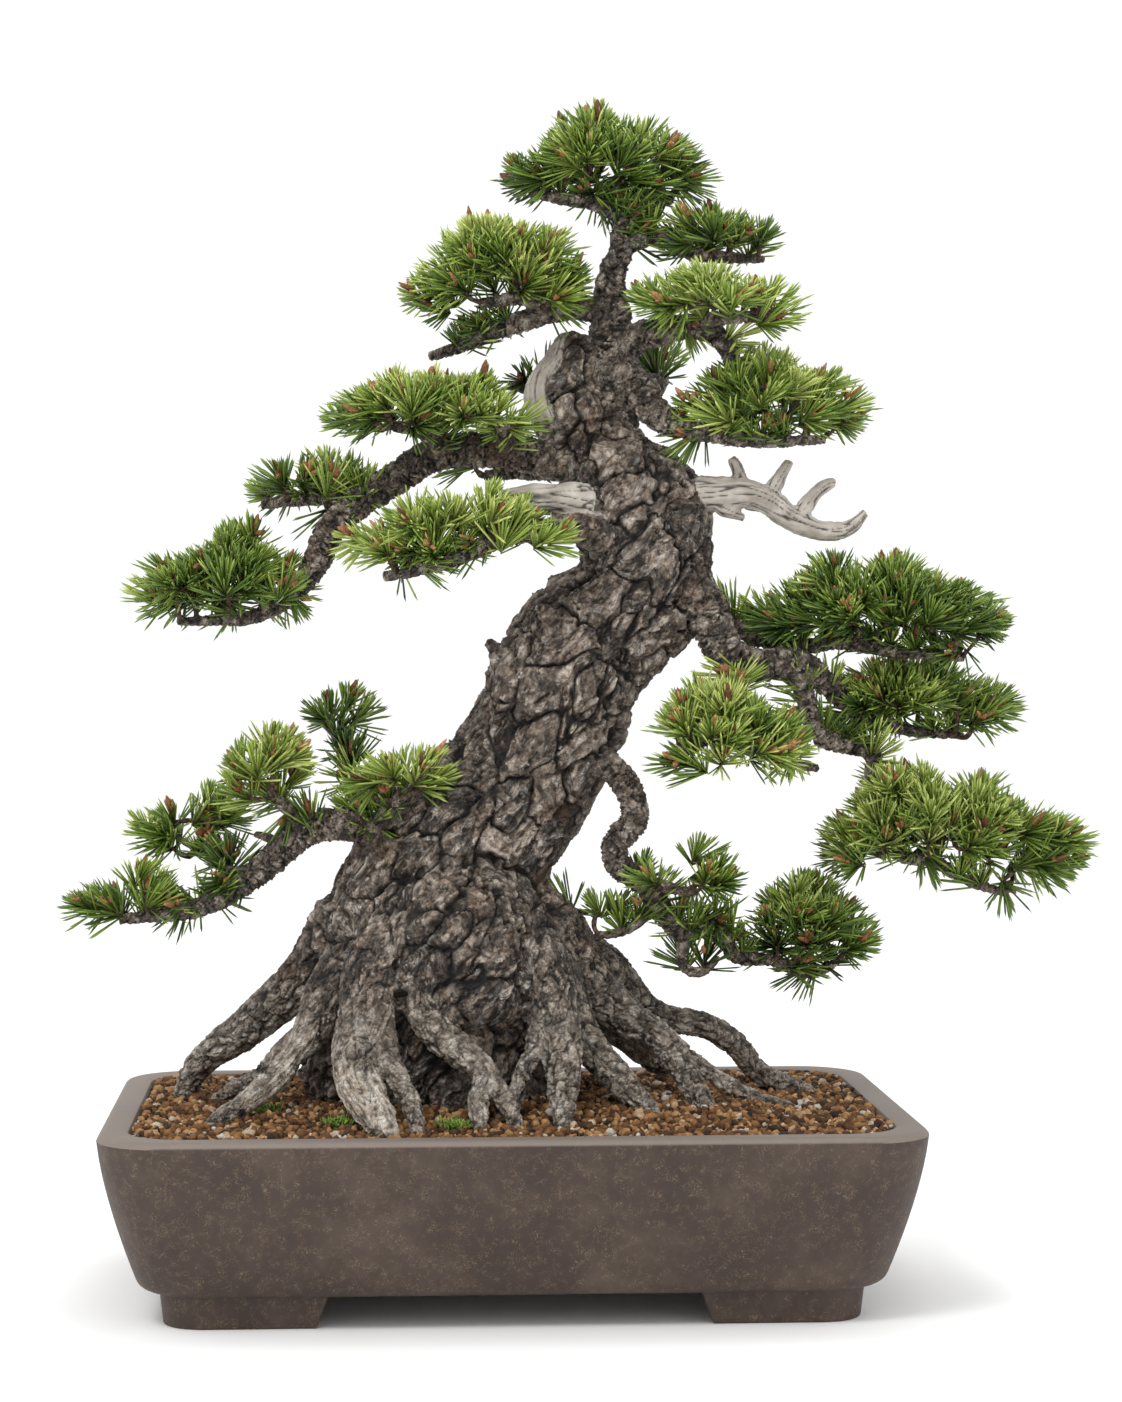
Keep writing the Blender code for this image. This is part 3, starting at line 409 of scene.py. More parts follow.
# the finer, darker clay between the grains, made near black as painted shade in the gaps between them
dampSoil, tree, shader, space = newMaterial("dampSoil", 0.95)
crumbs = addNode(tree, "ShaderNodeTexVoronoi", {"Scale": 1000 / 2.5}, {"Vector": space})
body = addNode(
    tree, "ShaderNodeValToRGB", links={"Fac": crumbs}, ramp=[(0.1, "#38220f"), (0.8, "#120b06")])
surfaces.append((tree, shader, body.outputs[0], []))

# tiny damp leaves
mossGreen, tree, shader, space = newMaterial("mossLeaves", 0.6, IOR=1.45)
tint = addNode(tree, "ShaderNodeAttribute", attribute_name="tint").outputs["Fac"]
body = addNode(tree, "ShaderNodeValToRGB", links={"Fac": tint}, ramp=[(0.0, "#33501c"), (1.0, "#86a03c")])
surfaces.append((tree, shader, body.outputs[0], []))

# a dull sheen, hardly grained
screenPlastic, tree, shader, space = newMaterial("mouldedPolyethylene", 0.45, IOR=1.51)
haze = addNode(tree, "ShaderNodeTexNoise", {"Scale": 1000 / 3}, {"Vector": space})
body = addNode(
    tree, "ShaderNodeValToRGB", links={"Fac": haze}, ramp=[(0.3, "#121212"), (0.7, "#1f1f1e")])
surfaces.append((tree, shader, body.outputs[0], []))

# dyed copper brown
clipWire, tree, shader, space = newMaterial("anodisedAluminiumWire", 0.35, Metallic=1.0)
drawn = addNode(tree, "ShaderNodeTexNoise", {"Scale": 1000 / 1.5, "Detail": 3}, {"Vector": space})
body = addNode(
    tree, "ShaderNodeValToRGB", links={"Fac": drawn}, ramp=[(0.3, "#8a6548"), (0.7, "#a87f5e")])
surfaces.append((tree, shader, body.outputs[0], []))

for tree, shader, colour, bumps in surfaces:
    tree.links.new(colour, shader.inputs["Base Color"])
    below = {}
    for height, strength, deep in bumps:
        bump = addNode(
            tree, "ShaderNodeBump", {"Strength": strength, "Distance": deep * mm}, {"Height": height, **below})
        below = {"Normal": bump}
    if bumps:
        tree.links.new(bump.outputs[0], shader.inputs["Normal"])
print("stage: finishes")


# The pot

potShape = {
    "footHeight": 20.5 * mm,
    "flare": 25 * mm,      # how far the wall's foot stands in from the rim
    "bellied": 1.45,
    "edge": 7 * mm,        # the turn under the wall
    "lip": 5 * mm,
    "rim": 19 * mm,
    "corner": 42 * mm,
    "wall": 14 * mm,
    "floor": 12 * mm,
    "footInset": 4 * mm,
    "footWidth": 24 * mm,
    "footAlong": (104 * mm, 80 * mm),
    "footSlant": 10 * mm,
    "drain": 15 * mm,
    "drainSpacing": 220 * mm,
    "drillSides": 40,
    "cornerCut": 0.86,     # what the corner's bevel takes, as a share of its radius
    "footCorner": 26 * mm,
    "footEdge": 1.4 * mm,
    "footTaper": (0.988, 0.98),     # a foot's underside, as a share of its top
    "footEdgeFrom": math.radians(40),     # sharper edges than this are eased
    "footOverlap": 2.5 * mm,        # how far the feet go into the body
    "sharpest": math.radians(32),   # a blunter edge is smooth
}


def wallInset(z):
    down = (rimHeight - z) / (rimHeight - potShape["footHeight"])
    return potShape["flare"] * max(down, 0) ** potShape["bellied"]


def potProfile():
    # (height, inset from the rim's edge) from the underside up over the lip and down inside
    foot, edge, lip = potShape["footHeight"], potShape["edge"], potShape["lip"]
    turns = [math.radians(angle) for angle in range(0, 91, 15)]
    rows = [(foot + edge * (1 - math.cos(t)), edge * (1 - math.sin(t))) for t in turns]
    rows += [(foot + edge + (rimHeight - lip - foot - edge) * step / 10, 0) for step in range(1, 11)]
    rows = [(z, inset + wallInset(z)) for z, inset in rows]
    rows += [(rimHeight - lip + lip * math.sin(t), lip * (1 - math.cos(t))) for t in turns[1:]]
    rim = potShape["rim"]
    rows += [(rimHeight, rim - 3 * mm), (rimHeight - 0.8 * mm, rim - 1 * mm), (rimHeight - 3 * mm, rim)]
    floorTop = foot + potShape["floor"]
    atFloor = wallInset(floorTop) + potShape["wall"]
    rows += [(floorTop + 3 * mm, atFloor - 0.5 * mm), (floorTop, atFloor + 2.5 * mm)]
    return rows


def makePot():
    rows = potProfile()
    width, depth = potHigh.x - potLow.x, potHigh.y - potLow.y
    sizes = [(width - 2 * inset, depth - 2 * inset, z) for z, inset in rows]
    bpy.ops.mesh.primitive_cube_add(size=1)
    pot = bpy.context.active_object
    pot.scale = (sizes[0][0], sizes[0][1], sizes[1][2] - sizes[0][2])
    pot.location = (potMiddle.x, potMiddle.y, (sizes[0][2] + sizes[1][2]) / 2)
    bpy.ops.object.transform_apply()
    selectEdges(pot, isUpright)
    bpy.ops.mesh.bevel(offset=potShape["corner"] * potShape["cornerCut"], segments=14, affect="EDGES")
    bpy.ops.mesh.select_mode(type="FACE")
    bpy.ops.mesh.select_all(action="DESELECT")
    bpy.ops.object.mode_set(mode="OBJECT")
    top = max(pot.data.polygons, key=lambda face: face.center.z)
    top.select = True
    bpy.ops.object.mode_set(mode="EDIT")
    middle = (potMiddle.x, potMiddle.y, 0)
    for (w0, d0, z0), (w1, d1, z1) in zip(sizes, sizes[1:]):
        if z0 != sizes[0][2]:
            bpy.ops.mesh.extrude_region_move(TRANSFORM_OT_translate={"value": (0, 0, z1 - z0)})
        bpy.ops.transform.resize(value=(w1 / w0, d1 / d0, 1), center_override=middle)
    bpy.ops.object.mode_set(mode="OBJECT")
    return pot


def makeFeet(pot):
    shape = potShape
    half = Vector(((potHigh.x - potLow.x) / 2, (potHigh.y - potLow.y) / 2, 0))
    inset = shape["flare"] + shape["edge"] + shape["footInset"]
    bpy.ops.mesh.primitive_cube_add(size=1, location=(potMiddle.x, potMiddle.y, shape["footHeight"] / 2))
    feet = bpy.context.active_object
    feet.name = "feet"
    feet.scale = (2 * (half.x - inset), 2 * (half.y - inset), shape["footHeight"])
    bpy.ops.object.transform_apply()
    selectEdges(feet, isUpright)
    bpy.ops.mesh.bevel(offset=shape["footCorner"], segments=10, affect="EDGES")
    bpy.ops.object.mode_set(mode="OBJECT")
    taperX, taperY = shape["footTaper"]
    for vertex in feet.data.vertices:      # the feet taper a little towards the ground
        if vertex.co.z < 0.1 * mm:
            vertex.co.x = potMiddle.x + (vertex.co.x - potMiddle.x) * taperX
            vertex.co.y = potMiddle.y + (vertex.co.y - potMiddle.y) * taperY
    gapX = 2 * (half.x - inset - shape["footAlong"][0])
    gapY = 2 * (half.y - inset - shape["footAlong"][1])
    inner = (2 * (half.x - inset - shape["footWidth"]), 2 * (half.y - inset - shape["footWidth"]))
    cuts = [(inner[0], inner[1], 0), (gapX, 1.0, shape["footSlant"]), (1.0, gapY, shape["footSlant"])]
    for width, depth, slant in cuts:
        bpy.ops.mesh.primitive_cube_add(size=1, location=(potMiddle.x, potMiddle.y, shape["footHeight"] / 2))
        cutter = bpy.context.active_object
        cutter.scale = (width, depth, shape["footHeight"] + 4 * mm)
        bpy.ops.object.transform_apply()
        for vertex in cutter.data.vertices:
            if vertex.co.z < shape["footHeight"] / 2:
                vertex.co.x += math.copysign(slant, vertex.co.x - potMiddle.x) if width < 1 else 0
                vertex.co.y += math.copysign(slant, vertex.co.y - potMiddle.y) if depth < 1 else 0
        applyModifier(feet, "BOOLEAN", operation="DIFFERENCE", object=cutter)
        bpy.data.objects.remove(cutter)
    applyModifier(
        feet, "BEVEL", width=shape["footEdge"], segments=3, limit_method="ANGLE",
        angle_limit=shape["footEdgeFrom"])
    for vertex in feet.data.vertices:
        if vertex.co.z > shape["footHeight"] - 2 * mm:
            vertex.co.z += shape["footOverlap"]
    return feet


pot = makePot()
feet = makeFeet(pot)
applyModifier(pot, "BOOLEAN", operation="UNION", object=feet)
bpy.data.objects.remove(feet)
for side in (-1, 1):
    bpy.ops.mesh.primitive_cylinder_add(
        vertices=potShape["drillSides"], radius=potShape["drain"], depth=60 * mm,
        location=(potMiddle.x + side * potShape["drainSpacing"] / 2, potMiddle.y, potShape["footHeight"]))
    drill = bpy.context.active_object
    applyModifier(pot, "BOOLEAN", operation="DIFFERENCE", object=drill)
    bpy.data.objects.remove(drill)
activate(pot)
bpy.ops.object.shade_smooth_by_angle(angle=potShape["sharpest"])
pot.name = "stonewarePot"
pot.data.materials.clear()
pot.data.materials.append(stoneware)
finishPiece(pot, "pot_clay", "pot")
for side in ("left", "right"):
    for node, finish in ((f"drain_screen_{side}", screenPlastic), (f"screen_clip_{side}", clipWire)):
        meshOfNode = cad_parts[node].data
        meshOfNode.materials.clear()
        meshOfNode.materials.append(finish)
print("stage: pot")


# The wood

# Limbs, each a run of (x, y, height above the rim, radius) in millimetres from the pot's middle
limbs = {
    "trunk": [
        (-47, 8, -13, 74), (-47, 6, 25, 84), (-47, 4, 64, 82), (-46, 0, 113, 71),
        (-31, -4, 153, 60), (-4, -7, 192, 50), (19, -9, 225, 49), (34, -11, 262, 48),
        (48, -12, 286, 45), (71, -11, 307, 41), (85, -9, 325, 41), (89, -6, 349, 43),
        (84, -3, 375, 44), (71, 0, 395, 36), (55, 3, 414, 28), (46, 5, 430, 26), (37, 6, 449, 24),
        (41, 7, 471, 18), (46, 8, 488, 11)],
    "leader": [
        (62, 9, 412, 18), (68, 12, 447, 19), (68, 12, 476, 17), (68, 10, 499, 12.5),
        (67, 8, 520, 9), (73, 6, 542, 7.5), (74, 5, 564, 6), (68, 5, 583, 4)],
    "apexLeft": [(74, 5, 562, 6), (59, 2, 570, 5), (37, -2, 573, 4), (15, -5, 576, 3)],
    "apexRight": [(73, 5, 559, 6), (89, 10, 569, 5), (107, 15, 576, 3)],
    "lowLeftBough": [
        (-49, -12, 169, 13), (-73, -22, 172, 11), (-90, -25, 176, 10), (-106, -23, 178, 9.5),
        (-125, -18, 174, 9), (-149, -12, 154, 8.5), (-169, -10, 139, 7.5), (-190, -11, 127, 6),
        (-221, -14, 121, 4.6), (-243, -15, 118, 3)],
    "lowLeftStub": [(-140, -15, 163, 4), (-149, -18, 169, 3.5), (-159, -20, 172, 2.2)],
    "lowLeftStub2": [(-154, -11, 150, 4), (-165, -14, 149, 3), (-177, -16, 150, 2.2)],
    "lowLeftUp": [(-169, -10, 139, 5), (-182, 4, 153, 4), (-199, 15, 161, 3)],
    "lowLeftFront": [(-125, -18, 174, 5), (-138, -24, 188, 4.5), (-150, -26, 198, 3)],
    "lowLeftBack": [(-90, -24, 176, 6), (-96, 0, 198, 5), (-104, 25, 223, 4), (-109, 30, 234, 3)],
    "lowLeftNear": [(-85, -24, 175, 6), (-74, -38, 189, 4.5), (-68, -42, 197, 3)],
    "midLeftBough": [
        (44, -2, 403, 13), (18, -8, 410, 11), (-11, -12, 413, 10.5), (-45, -14, 410, 10),
        (-70, -13, 395, 9.5), (-95, -11, 378, 9), (-113, -9, 360, 8.5), (-119, -9, 344, 8),
        (-133, -9, 325, 6), (-157, -10, 309, 4.6), (-183, -10, 306, 3.6), (-207, -10, 305, 2.6)],
    "midLeftUp": [(-91, -11, 380, 6), (-108, 8, 384, 5), (-131, 22, 383, 4), (-155, 27, 380, 3)],
    "midLeftNear": [(-42, -14, 410, 7), (-45, -28, 418, 5), (-58, -38, 424, 4), (-77, -42, 427, 3)],
    "midLeftNear2": [(-4, -11, 412, 7), (-2, -32, 421, 5), (-6, -46, 429, 3.2)],
    "frontBough": [
        (58, -28, 362, 14), (35, -48, 363, 8), (15, -62, 361, 6.5), (-3, -70, 357, 6),
        (-25, -74, 347, 5), (-47, -76, 339, 4.2), (-78, -76, 332, 3)],
    "backLeftBough": [(61, 22, 396, 13), (44, 50, 404, 8), (19, 76, 405, 6), (-10, 90, 402, 3.5)],
    "backRightBough": [(86, 8, 450, 12), (98, 38, 459, 7), (104, 62, 465, 5), (105, 80, 470, 3)],
    "backLowBough": [(46, 28, 262, 14), (50, 62, 272, 9), (54, 88, 279, 7), (56, 108, 284, 4)],
    "smallBackBough": [(48, 18, 452, 9), (29, 38, 454, 5), (4, 52, 459, 3)],
    "highLeftBough": [
        (67, 9, 498, 11), (54, 5, 504, 8.5), (30, -5, 502, 7), (5, -8, 493, 6.2),
        (-10, -2, 488, 5.3), (-29, 8, 480, 4.2), (-48, 15, 474, 3)],
    "highLeftNear": [(30, -5, 502, 6), (11, -14, 508, 4.5), (-17, -20, 505, 3)],
    "highRightBough": [
        (71, 6, 541, 7), (96, 8, 551, 5.5), (118, 10, 541, 4.5), (144, 10, 538, 3.6),
        (166, 10, 537, 2.6)],
    "shoulderBough": [
        (70, 12, 477, 13), (83, 4, 486, 10), (98, -6, 489, 8.5), (120, -14, 491, 7),
        (134, -20, 484, 6), (142, -22, 469, 5), (144, -22, 450, 4)],
    "shoulderUp": [(116, -13, 491, 6), (135, -28, 496, 4.5), (161, -38, 495, 3)],
    "rightBough": [
        (61, 10, 456, 14), (72, 4, 462, 11), (84, -6, 451, 10), (94, -14, 437, 9),
        (104, -20, 430, 7.5), (124, -24, 424, 5.5), (159, -24, 419, 4.2), (201, -22, 420, 2.8)],
    "jin": [
        (95, -5, 381, 17), (111, -12, 385, 13), (132, -16, 386, 11.5), (151, -17, 386, 10),
        (165, -17, 381, 9), (184, -15, 369, 8), (203, -12, 363, 6.6), (218, -10, 365, 5),
        (229, -9, 375, 3.2)],
    "jinSpike": [(149, -17, 385, 7), (147, -16, 396, 5), (144, -14, 406, 4.2), (142, -14, 409, 3.4)],
    "jinSpike2": [(163, -17, 381, 7), (170, -14, 392, 5.5), (178, -11, 404, 3.8), (180, -10, 407, 3)],
    "jinSpike3": [(183, -15, 369, 7), (194, -10, 384, 5.2), (206, -6, 393, 4), (210, -6, 394, 3)],
    "jinSpike4": [(131, -18, 382, 7), (141, -20, 375, 5), (150, -21, 370, 2.6)],
    "greatBough": [
        (90, -16, 331, 22), (110, -20, 325, 17), (121, -22, 317, 15), (129, -25, 303, 13),
        (137, -28, 287, 11.5), (154, -27, 278, 10), (184, -16, 279, 8.6), (199, -8, 270, 7.4),
        (221, 8, 252, 5.5), (255, 18, 237, 4.2), (296, 20, 232, 2.8)],
    "greatBack": [
        (128, -22, 307, 8), (144, -10, 303, 6), (166, -2, 293, 5), (188, 0, 289, 4.6),
        (211, -4, 292, 4.4), (246, -10, 286, 3.8), (270, -12, 284, 3.2), (292, -12, 282, 2.4)],
    "greatLow": [
        (183, -16, 278, 7), (191, -8, 255, 6), (200, -3, 233, 5.8), (220, -1, 226, 5.4),
        (234, 0, 222, 5.2), (235, 0, 207, 5), (237, -1, 188, 4.8), (241, -2, 167, 4.6),
        (255, -3, 155, 4.4), (271, -4, 153, 4), (295, -4, 140, 3.4), (321, -3, 131, 2.5)],
    "greatNear": [
        (151, -28, 278, 7.5), (141, -46, 261, 6), (148, -60, 235, 4.6), (168, -64, 219, 3.8),
        (191, -64, 214, 2.6)],
    "greatNear2": [(142, -48, 259, 5), (121, -62, 233, 4.4), (92, -68, 218, 2.8)],
    "hangingBough": [
        (48, -28, 223, 11), (65, -38, 213, 8.5), (76, -42, 197, 8), (78, -42, 180, 7.8),
        (67, -40, 167, 7.6), (69, -38, 153, 7.5), (83, -37, 143, 7.2), (98, -35, 122, 6.8),
        (110, -33, 110, 6.2), (126, -31, 113, 5.4), (136, -29, 105, 5), (145, -27, 94, 4.6),
        (164, -24, 92, 3.7), (193, -20, 82, 3), (213, -18, 92, 2.4)],
    "hangingUp": [(83, -37, 143, 5), (96, -44, 140, 4), (111, -48, 136, 2.8)],
    "hangingDrop": [(110, -33, 110, 4), (112, -32, 87, 3.4), (121, -32, 85, 3), (133, -31, 94, 2)],
    "hangingTwig": [(92, -36, 126, 4), (72, -35, 111, 3.2), (54, -33, 108, 2.2)],
    "leftStub": [(48, -30, 378, 15), (29, -40, 381, 11), (12, -45, 381, 9), (-5, -47, 381, 6)],
    "frontMound": [
        (-40, -22, 132, 48), (-27, -36, 99, 51), (-20, -43, 76, 45), (-17, -45, 57, 34)],
    "knotA": [(33, -30, 297, 12), (23, -40, 310, 6), (18, -43, 314, 3)],
    "knotB": [(4, -28, 268, 13), (-7, -36, 286, 6), (-13, -40, 292, 3)],
    "rootFarLeft": [
        (-98, 4, 106, 30), (-118, 8, 87, 21), (-135, 12, 72, 15.5), (-168, 22, 43, 12.5),
        (-196, 32, 21, 9), (-206, 38, 0, 7), (-211, 42, -18, 5)],
    "rootLeft": [
        (-102, -30, 84, 24), (-129, -50, 43, 11), (-144, -62, 25, 9.5), (-162, -78, 11, 8),
        (-180, -92, 2, 6), (-192, -98, -8, 4)],
    "rootLeftTwin": [(-130, -40, 45, 11), (-154, -20, 20, 8), (-178, 2, 4, 7), (-191, 14, -9, 4.5)],
    "rootFront": [
        (-77, -40, 104, 28), (-88, -66, 62, 23), (-95, -88, 35, 18), (-86, -116, 13, 14.5),
        (-77, -134, -2, 10), (-74, -137, -15, 6)],
    "rootFrontTwin": [
        (-79, -84, 42, 12), (-69, -98, 26, 8), (-61, -113, 11, 7), (-58, -128, -4, 5),
        (-57, -133, -13, 4)],
    "rootFork": [
        (-56, -46, 101, 22), (-50, -72, 60, 16), (-32, -82, 42, 12.5), (-17, -90, 29, 10),
        (-21, -102, 16, 8), (-21, -116, 0, 6), (-20, -120, -10, 4)],
    "rootForkTwin": [(-19, -89, 30, 9), (-8, -98, 18, 7.5), (0, -110, 4, 5.5), (3, -114, -7, 4)],
    "rootSlim": [(19, -56, 77, 14), (14, -74, 42, 7.5), (4, -86, 24, 6), (1, -94, 11, 5), (-1, -97, 1, 4)],
    "rootMid": [
        (7, -40, 112, 26), (24, -62, 71, 21), (31, -80, 36, 15), (30, -97, 15, 10.5),
        (30, -108, 1, 7), (30, -112, -10, 4.5)],
    "rootMidRight": [
        (23, -34, 87, 23), (45, -46, 47, 15), (63, -58, 26, 12), (83, -72, 5, 8.5), (94, -78, -7, 5)],
    "rootRight": [
        (24, -14, 110, 30), (50, -20, 78, 21), (74, -26, 57, 15), (98, -32, 40, 12),
        (112, -42, 19, 10), (123, -54, -2, 8), (128, -60, -13, 5)],
    "rootFarRight": [
        (54, 10, 85, 24), (96, 16, 53, 12), (131, 22, 44, 10), (147, 26, 34, 9.5),
        (167, 34, 12, 8.5), (197, 42, -1, 6.5), (213, 46, -13, 4)],
    "rootRightTwin": [
        (85, -10, 46, 14), (118, -16, 26, 7.5), (142, -22, 11, 6), (161, -26, 3, 5.2),
        (182, -30, -3, 3.8), (192, -32, -10, 3)],
    "rootBack": [(-22, 30, 94, 34), (2, 70, 44, 18), (20, 98, 14, 12), (36, 116, -5, 8), (42, 124, -19, 5)],
    "rootBackLeft": [
        (-67, 30, 94, 34), (-89, 70, 44, 17), (-109, 96, 18, 12), (-129, 114, 1, 8), (-136, 122, -14, 5)],
    "rootBackRight": [
        (36, 24, 94, 28), (71, 62, 44, 15), (103, 84, 16, 11), (135, 102, -2, 7.5), (145, 110, -16, 5)],
}

woodShape = {
    "depth": 0.86,          # the trunk's thickness from front to back, as a share of its width
    "voxel": 1.1 * mm,
    "sides": 5,
    "step": 4 * mm,         # between the samples of a limb's centreline
    "burls": 22,            # in a metre
    "burlShare": 0.10,
    "heart": (-47, 4),      # where the trunk stands, in the pot
    "rootBack": 0.9,        # a root starts inside the trunk, this share of its first stretch back,
    "rootRise": 34,         # so many millimetres higher
    "rootSlim": 0.7,        # and that much thinner
    "flow": (0.62, 0.78),   # the plates of the trunk run this way, to the right and up
    "rootBark": 0.82,       # a root without its bark, as a share of the whole
    "easedRows": 2,         # of points on either side of where two limbs meet
    "easing": 6,            # how often the bark is evened out there
}
# plate size along and across, crevice depth and layer thickness, in millimetres
barkKinds = {
    "trunk": (38, 25, 6.0, 1.0),
    "bough": (9, 15, 1.6, 0.4),
    "root": (15, 9, 1.6, 0.4),
}
# sizes within a plate are in widths of the plate
platePattern = {
    "bends": ((1.3, 0.34), (4.2, 0.12)),     # how often its outline bends, and how far
    "gap": 0.1,
    "gapVaries": 0.12,
    "leastGap": 0.04,
    "rootGap": 1.5,           # the cracks of a root are wider by this much
    "chips": 4.0,             # across a plate
    "chipBends": (8.0, 0.35),
    "chipGap": 0.16,
    "layersUp": 4.5,          # from a plate's edge to its middle
    "chipLift": 1.2,          # in layers, as the next two are
    "layerWave": 2.4,
    "chipTilt": 2.2,
}
# each as its size and height in millimetres
deadGrain = {"grooves": (3.4, 2.2), "cracks": (1.5, 0.8), "lumps": (14, 1.5), "saw": (4, 0.5)}
fibreStretch = 0.05           # a groove runs twenty times as far as it is wide
fullBark = {"trunk": 22 * mm, "bough": 8 * mm}     # thinner limbs have shallower bark
boughRings = (1.5, 1.9)       # how far a wrinkle rises and its groove sinks, in millimetres
rootCracks = (0.6, 1.3)
# how far from its start a limb takes on its own bark, in millimetres
ownBark = {"trunk": (1e6, 1e7), "bough": (6, 30), "root": (40, 95), "dead": (0, 1)}
# between the wrinkles round a bough and the cracks across a root, in millimetres
ringWidth = {"bough": 5.5, "root": 10}
bareRoots = (88, 40)     # roots lose their bark between these heights above the rim
bareRootShare = {"rootFront": 1.0, "rootLeft": 0.75, "rootFork": 0.5}
otherBareShare = 0.3     # the other roots stay mostly in bark
bareTop = (424, 440)     # the old trunk's top loses it, too, on its left side


def limbKind(name):
    if name.startswith("jin") or name == "leftStub":
        return "dead"
    if name.startswith("root"):
        return "root"
    return "trunk" if name in ("trunk", "frontMound") else "bough"


def makeLimb(name, run):
    if limbKind(name) == "root":      # it comes out of the trunk little by little
        first, second = run[0], run[1]
        backX, backY = [a + (a - b) * woodShape["rootBack"] for a, b in zip(first, second)][:2]
        heartX, heartY = woodShape["heart"]
        start = (
            backX * 0.5 + heartX * 0.5, backY * 0.4 + heartY * 0.6, first[2] + woodShape["rootRise"],
            first[3] * woodShape["rootSlim"])
        run = [start, *run]
    curve = bpy.data.curves.new(name, "CURVE")
    curve.dimensions = "3D"
    curve.bevel_depth = 1
    curve.bevel_resolution = woodShape["sides"]
    curve.resolution_u = 8
    curve.use_fill_caps = True
    spline = curve.splines.new("BEZIER")
    spline.radius_interpolation = "CARDINAL"
    spline.bezier_points.add(len(run) - 1)
    share = woodShape["rootBark"] if limbKind(name) == "root" and name != "rootFarLeft" else 1.0
    for point, (x, y, height, radius) in zip(spline.bezier_points, run):
        point.co = fromPot(x, y, height)
        point.radius = radius * mm * share
        point.handle_left_type = point.handle_right_type = "AUTO"
    limb = bpy.data.objects.new(name, curve)
    bpy.context.scene.collection.objects.link(limb)
    return limb


def limbSamples(limb, index):
    # rows of centre, tangent, side, radius, distance along, limb number
    rows = []
    knots = limb.data.splines[0].bezier_points
    side, run = Vector((0, 1, 0)), 0.0
    for a, b in zip(knots, knots[1:]):
        count = max(2, int((b.co - a.co).length / woodShape["step"]) + 1)
        places = interpolate_bezier(a.co, a.handle_right, b.handle_left, b.co, count + 1)
        for i, (here, there) in enumerate(zip(places, places[1:])):
            tangent = (there - here).normalized()
            side = (side - tangent * side.dot(tangent)).normalized()
            radius = a.radius + (b.radius - a.radius) * i / count
            rows.append((*here, *tangent, *side, radius, run, index))
            run += (there - here).length
    return rows


def growWood():
    made, samples = [], []
    for index, (name, run) in enumerate(limbs.items()):
        limb = makeLimb(name, run)
        bpy.context.view_layer.update()
        samples += limbSamples(limb, index)
        activate(limb)
        bpy.ops.object.convert(target="MESH")
        limb = bpy.context.active_object
        if name == "trunk":
            for vertex in limb.data.vertices:
                vertex.co.y *= woodShape["depth"]
        made.append(limb)
    wood = joined(made, "wood")
    applyModifier(wood, "REMESH", mode="VOXEL", voxel_size=woodShape["voxel"], adaptivity=0)
    samples = np.array(samples)
    thick = samples[nearestSamples(points(wood), samples), 9]
    group = wood.vertex_groups.new(name="thick")
    levels = np.round(smoothStep(5 * mm, 20 * mm, thick) * 10).astype(int)
    for level in range(1, 11):
        group.add(np.flatnonzero(levels == level).tolist(), level / 10, "REPLACE")
    applyModifier(wood, "SMOOTH", factor=0.5, iterations=40, vertex_group="thick")
    applyModifier(wood, "SMOOTH", factor=0.5, iterations=5)
    return wood, samples


def nearestSamples(places, samples):
    # for each point the sample whose limb's skin is nearest
    found = np.empty(len(places), np.int32)
    centres = samples[:, :3].astype(np.float32)
    squares = (centres ** 2).sum(1)
    for start in range(0, len(places), 8000):
        part = places[start:start + 8000].astype(np.float32)
        gaps = (part ** 2).sum(1)[:, None] + squares - 2 * part @ centres.T
        gaps = np.sqrt(np.maximum(gaps, 0)) - samples[:, 9].astype(np.float32)
        found[start:start + 8000] = gaps.argmin(1)
    return found


def smoothOne(low, high, value):
    # smoothStep for a single number, which is faster this way
    share = min(max((value - low) / (high - low), 0.0), 1.0)
    return share * share * (3 - 2 * share)


noiseShifts = [Vector(shift) for shift in ((9.3, -1.5, -8.0), (0, 0, 0), (6.3, 0.2, -2.7))]


def noiseVector(spot):
    # noise.noise_vector isn't used, because it differs from one run to the next
    return Vector([noise.noise(spot + shift) for shift in noiseShifts])


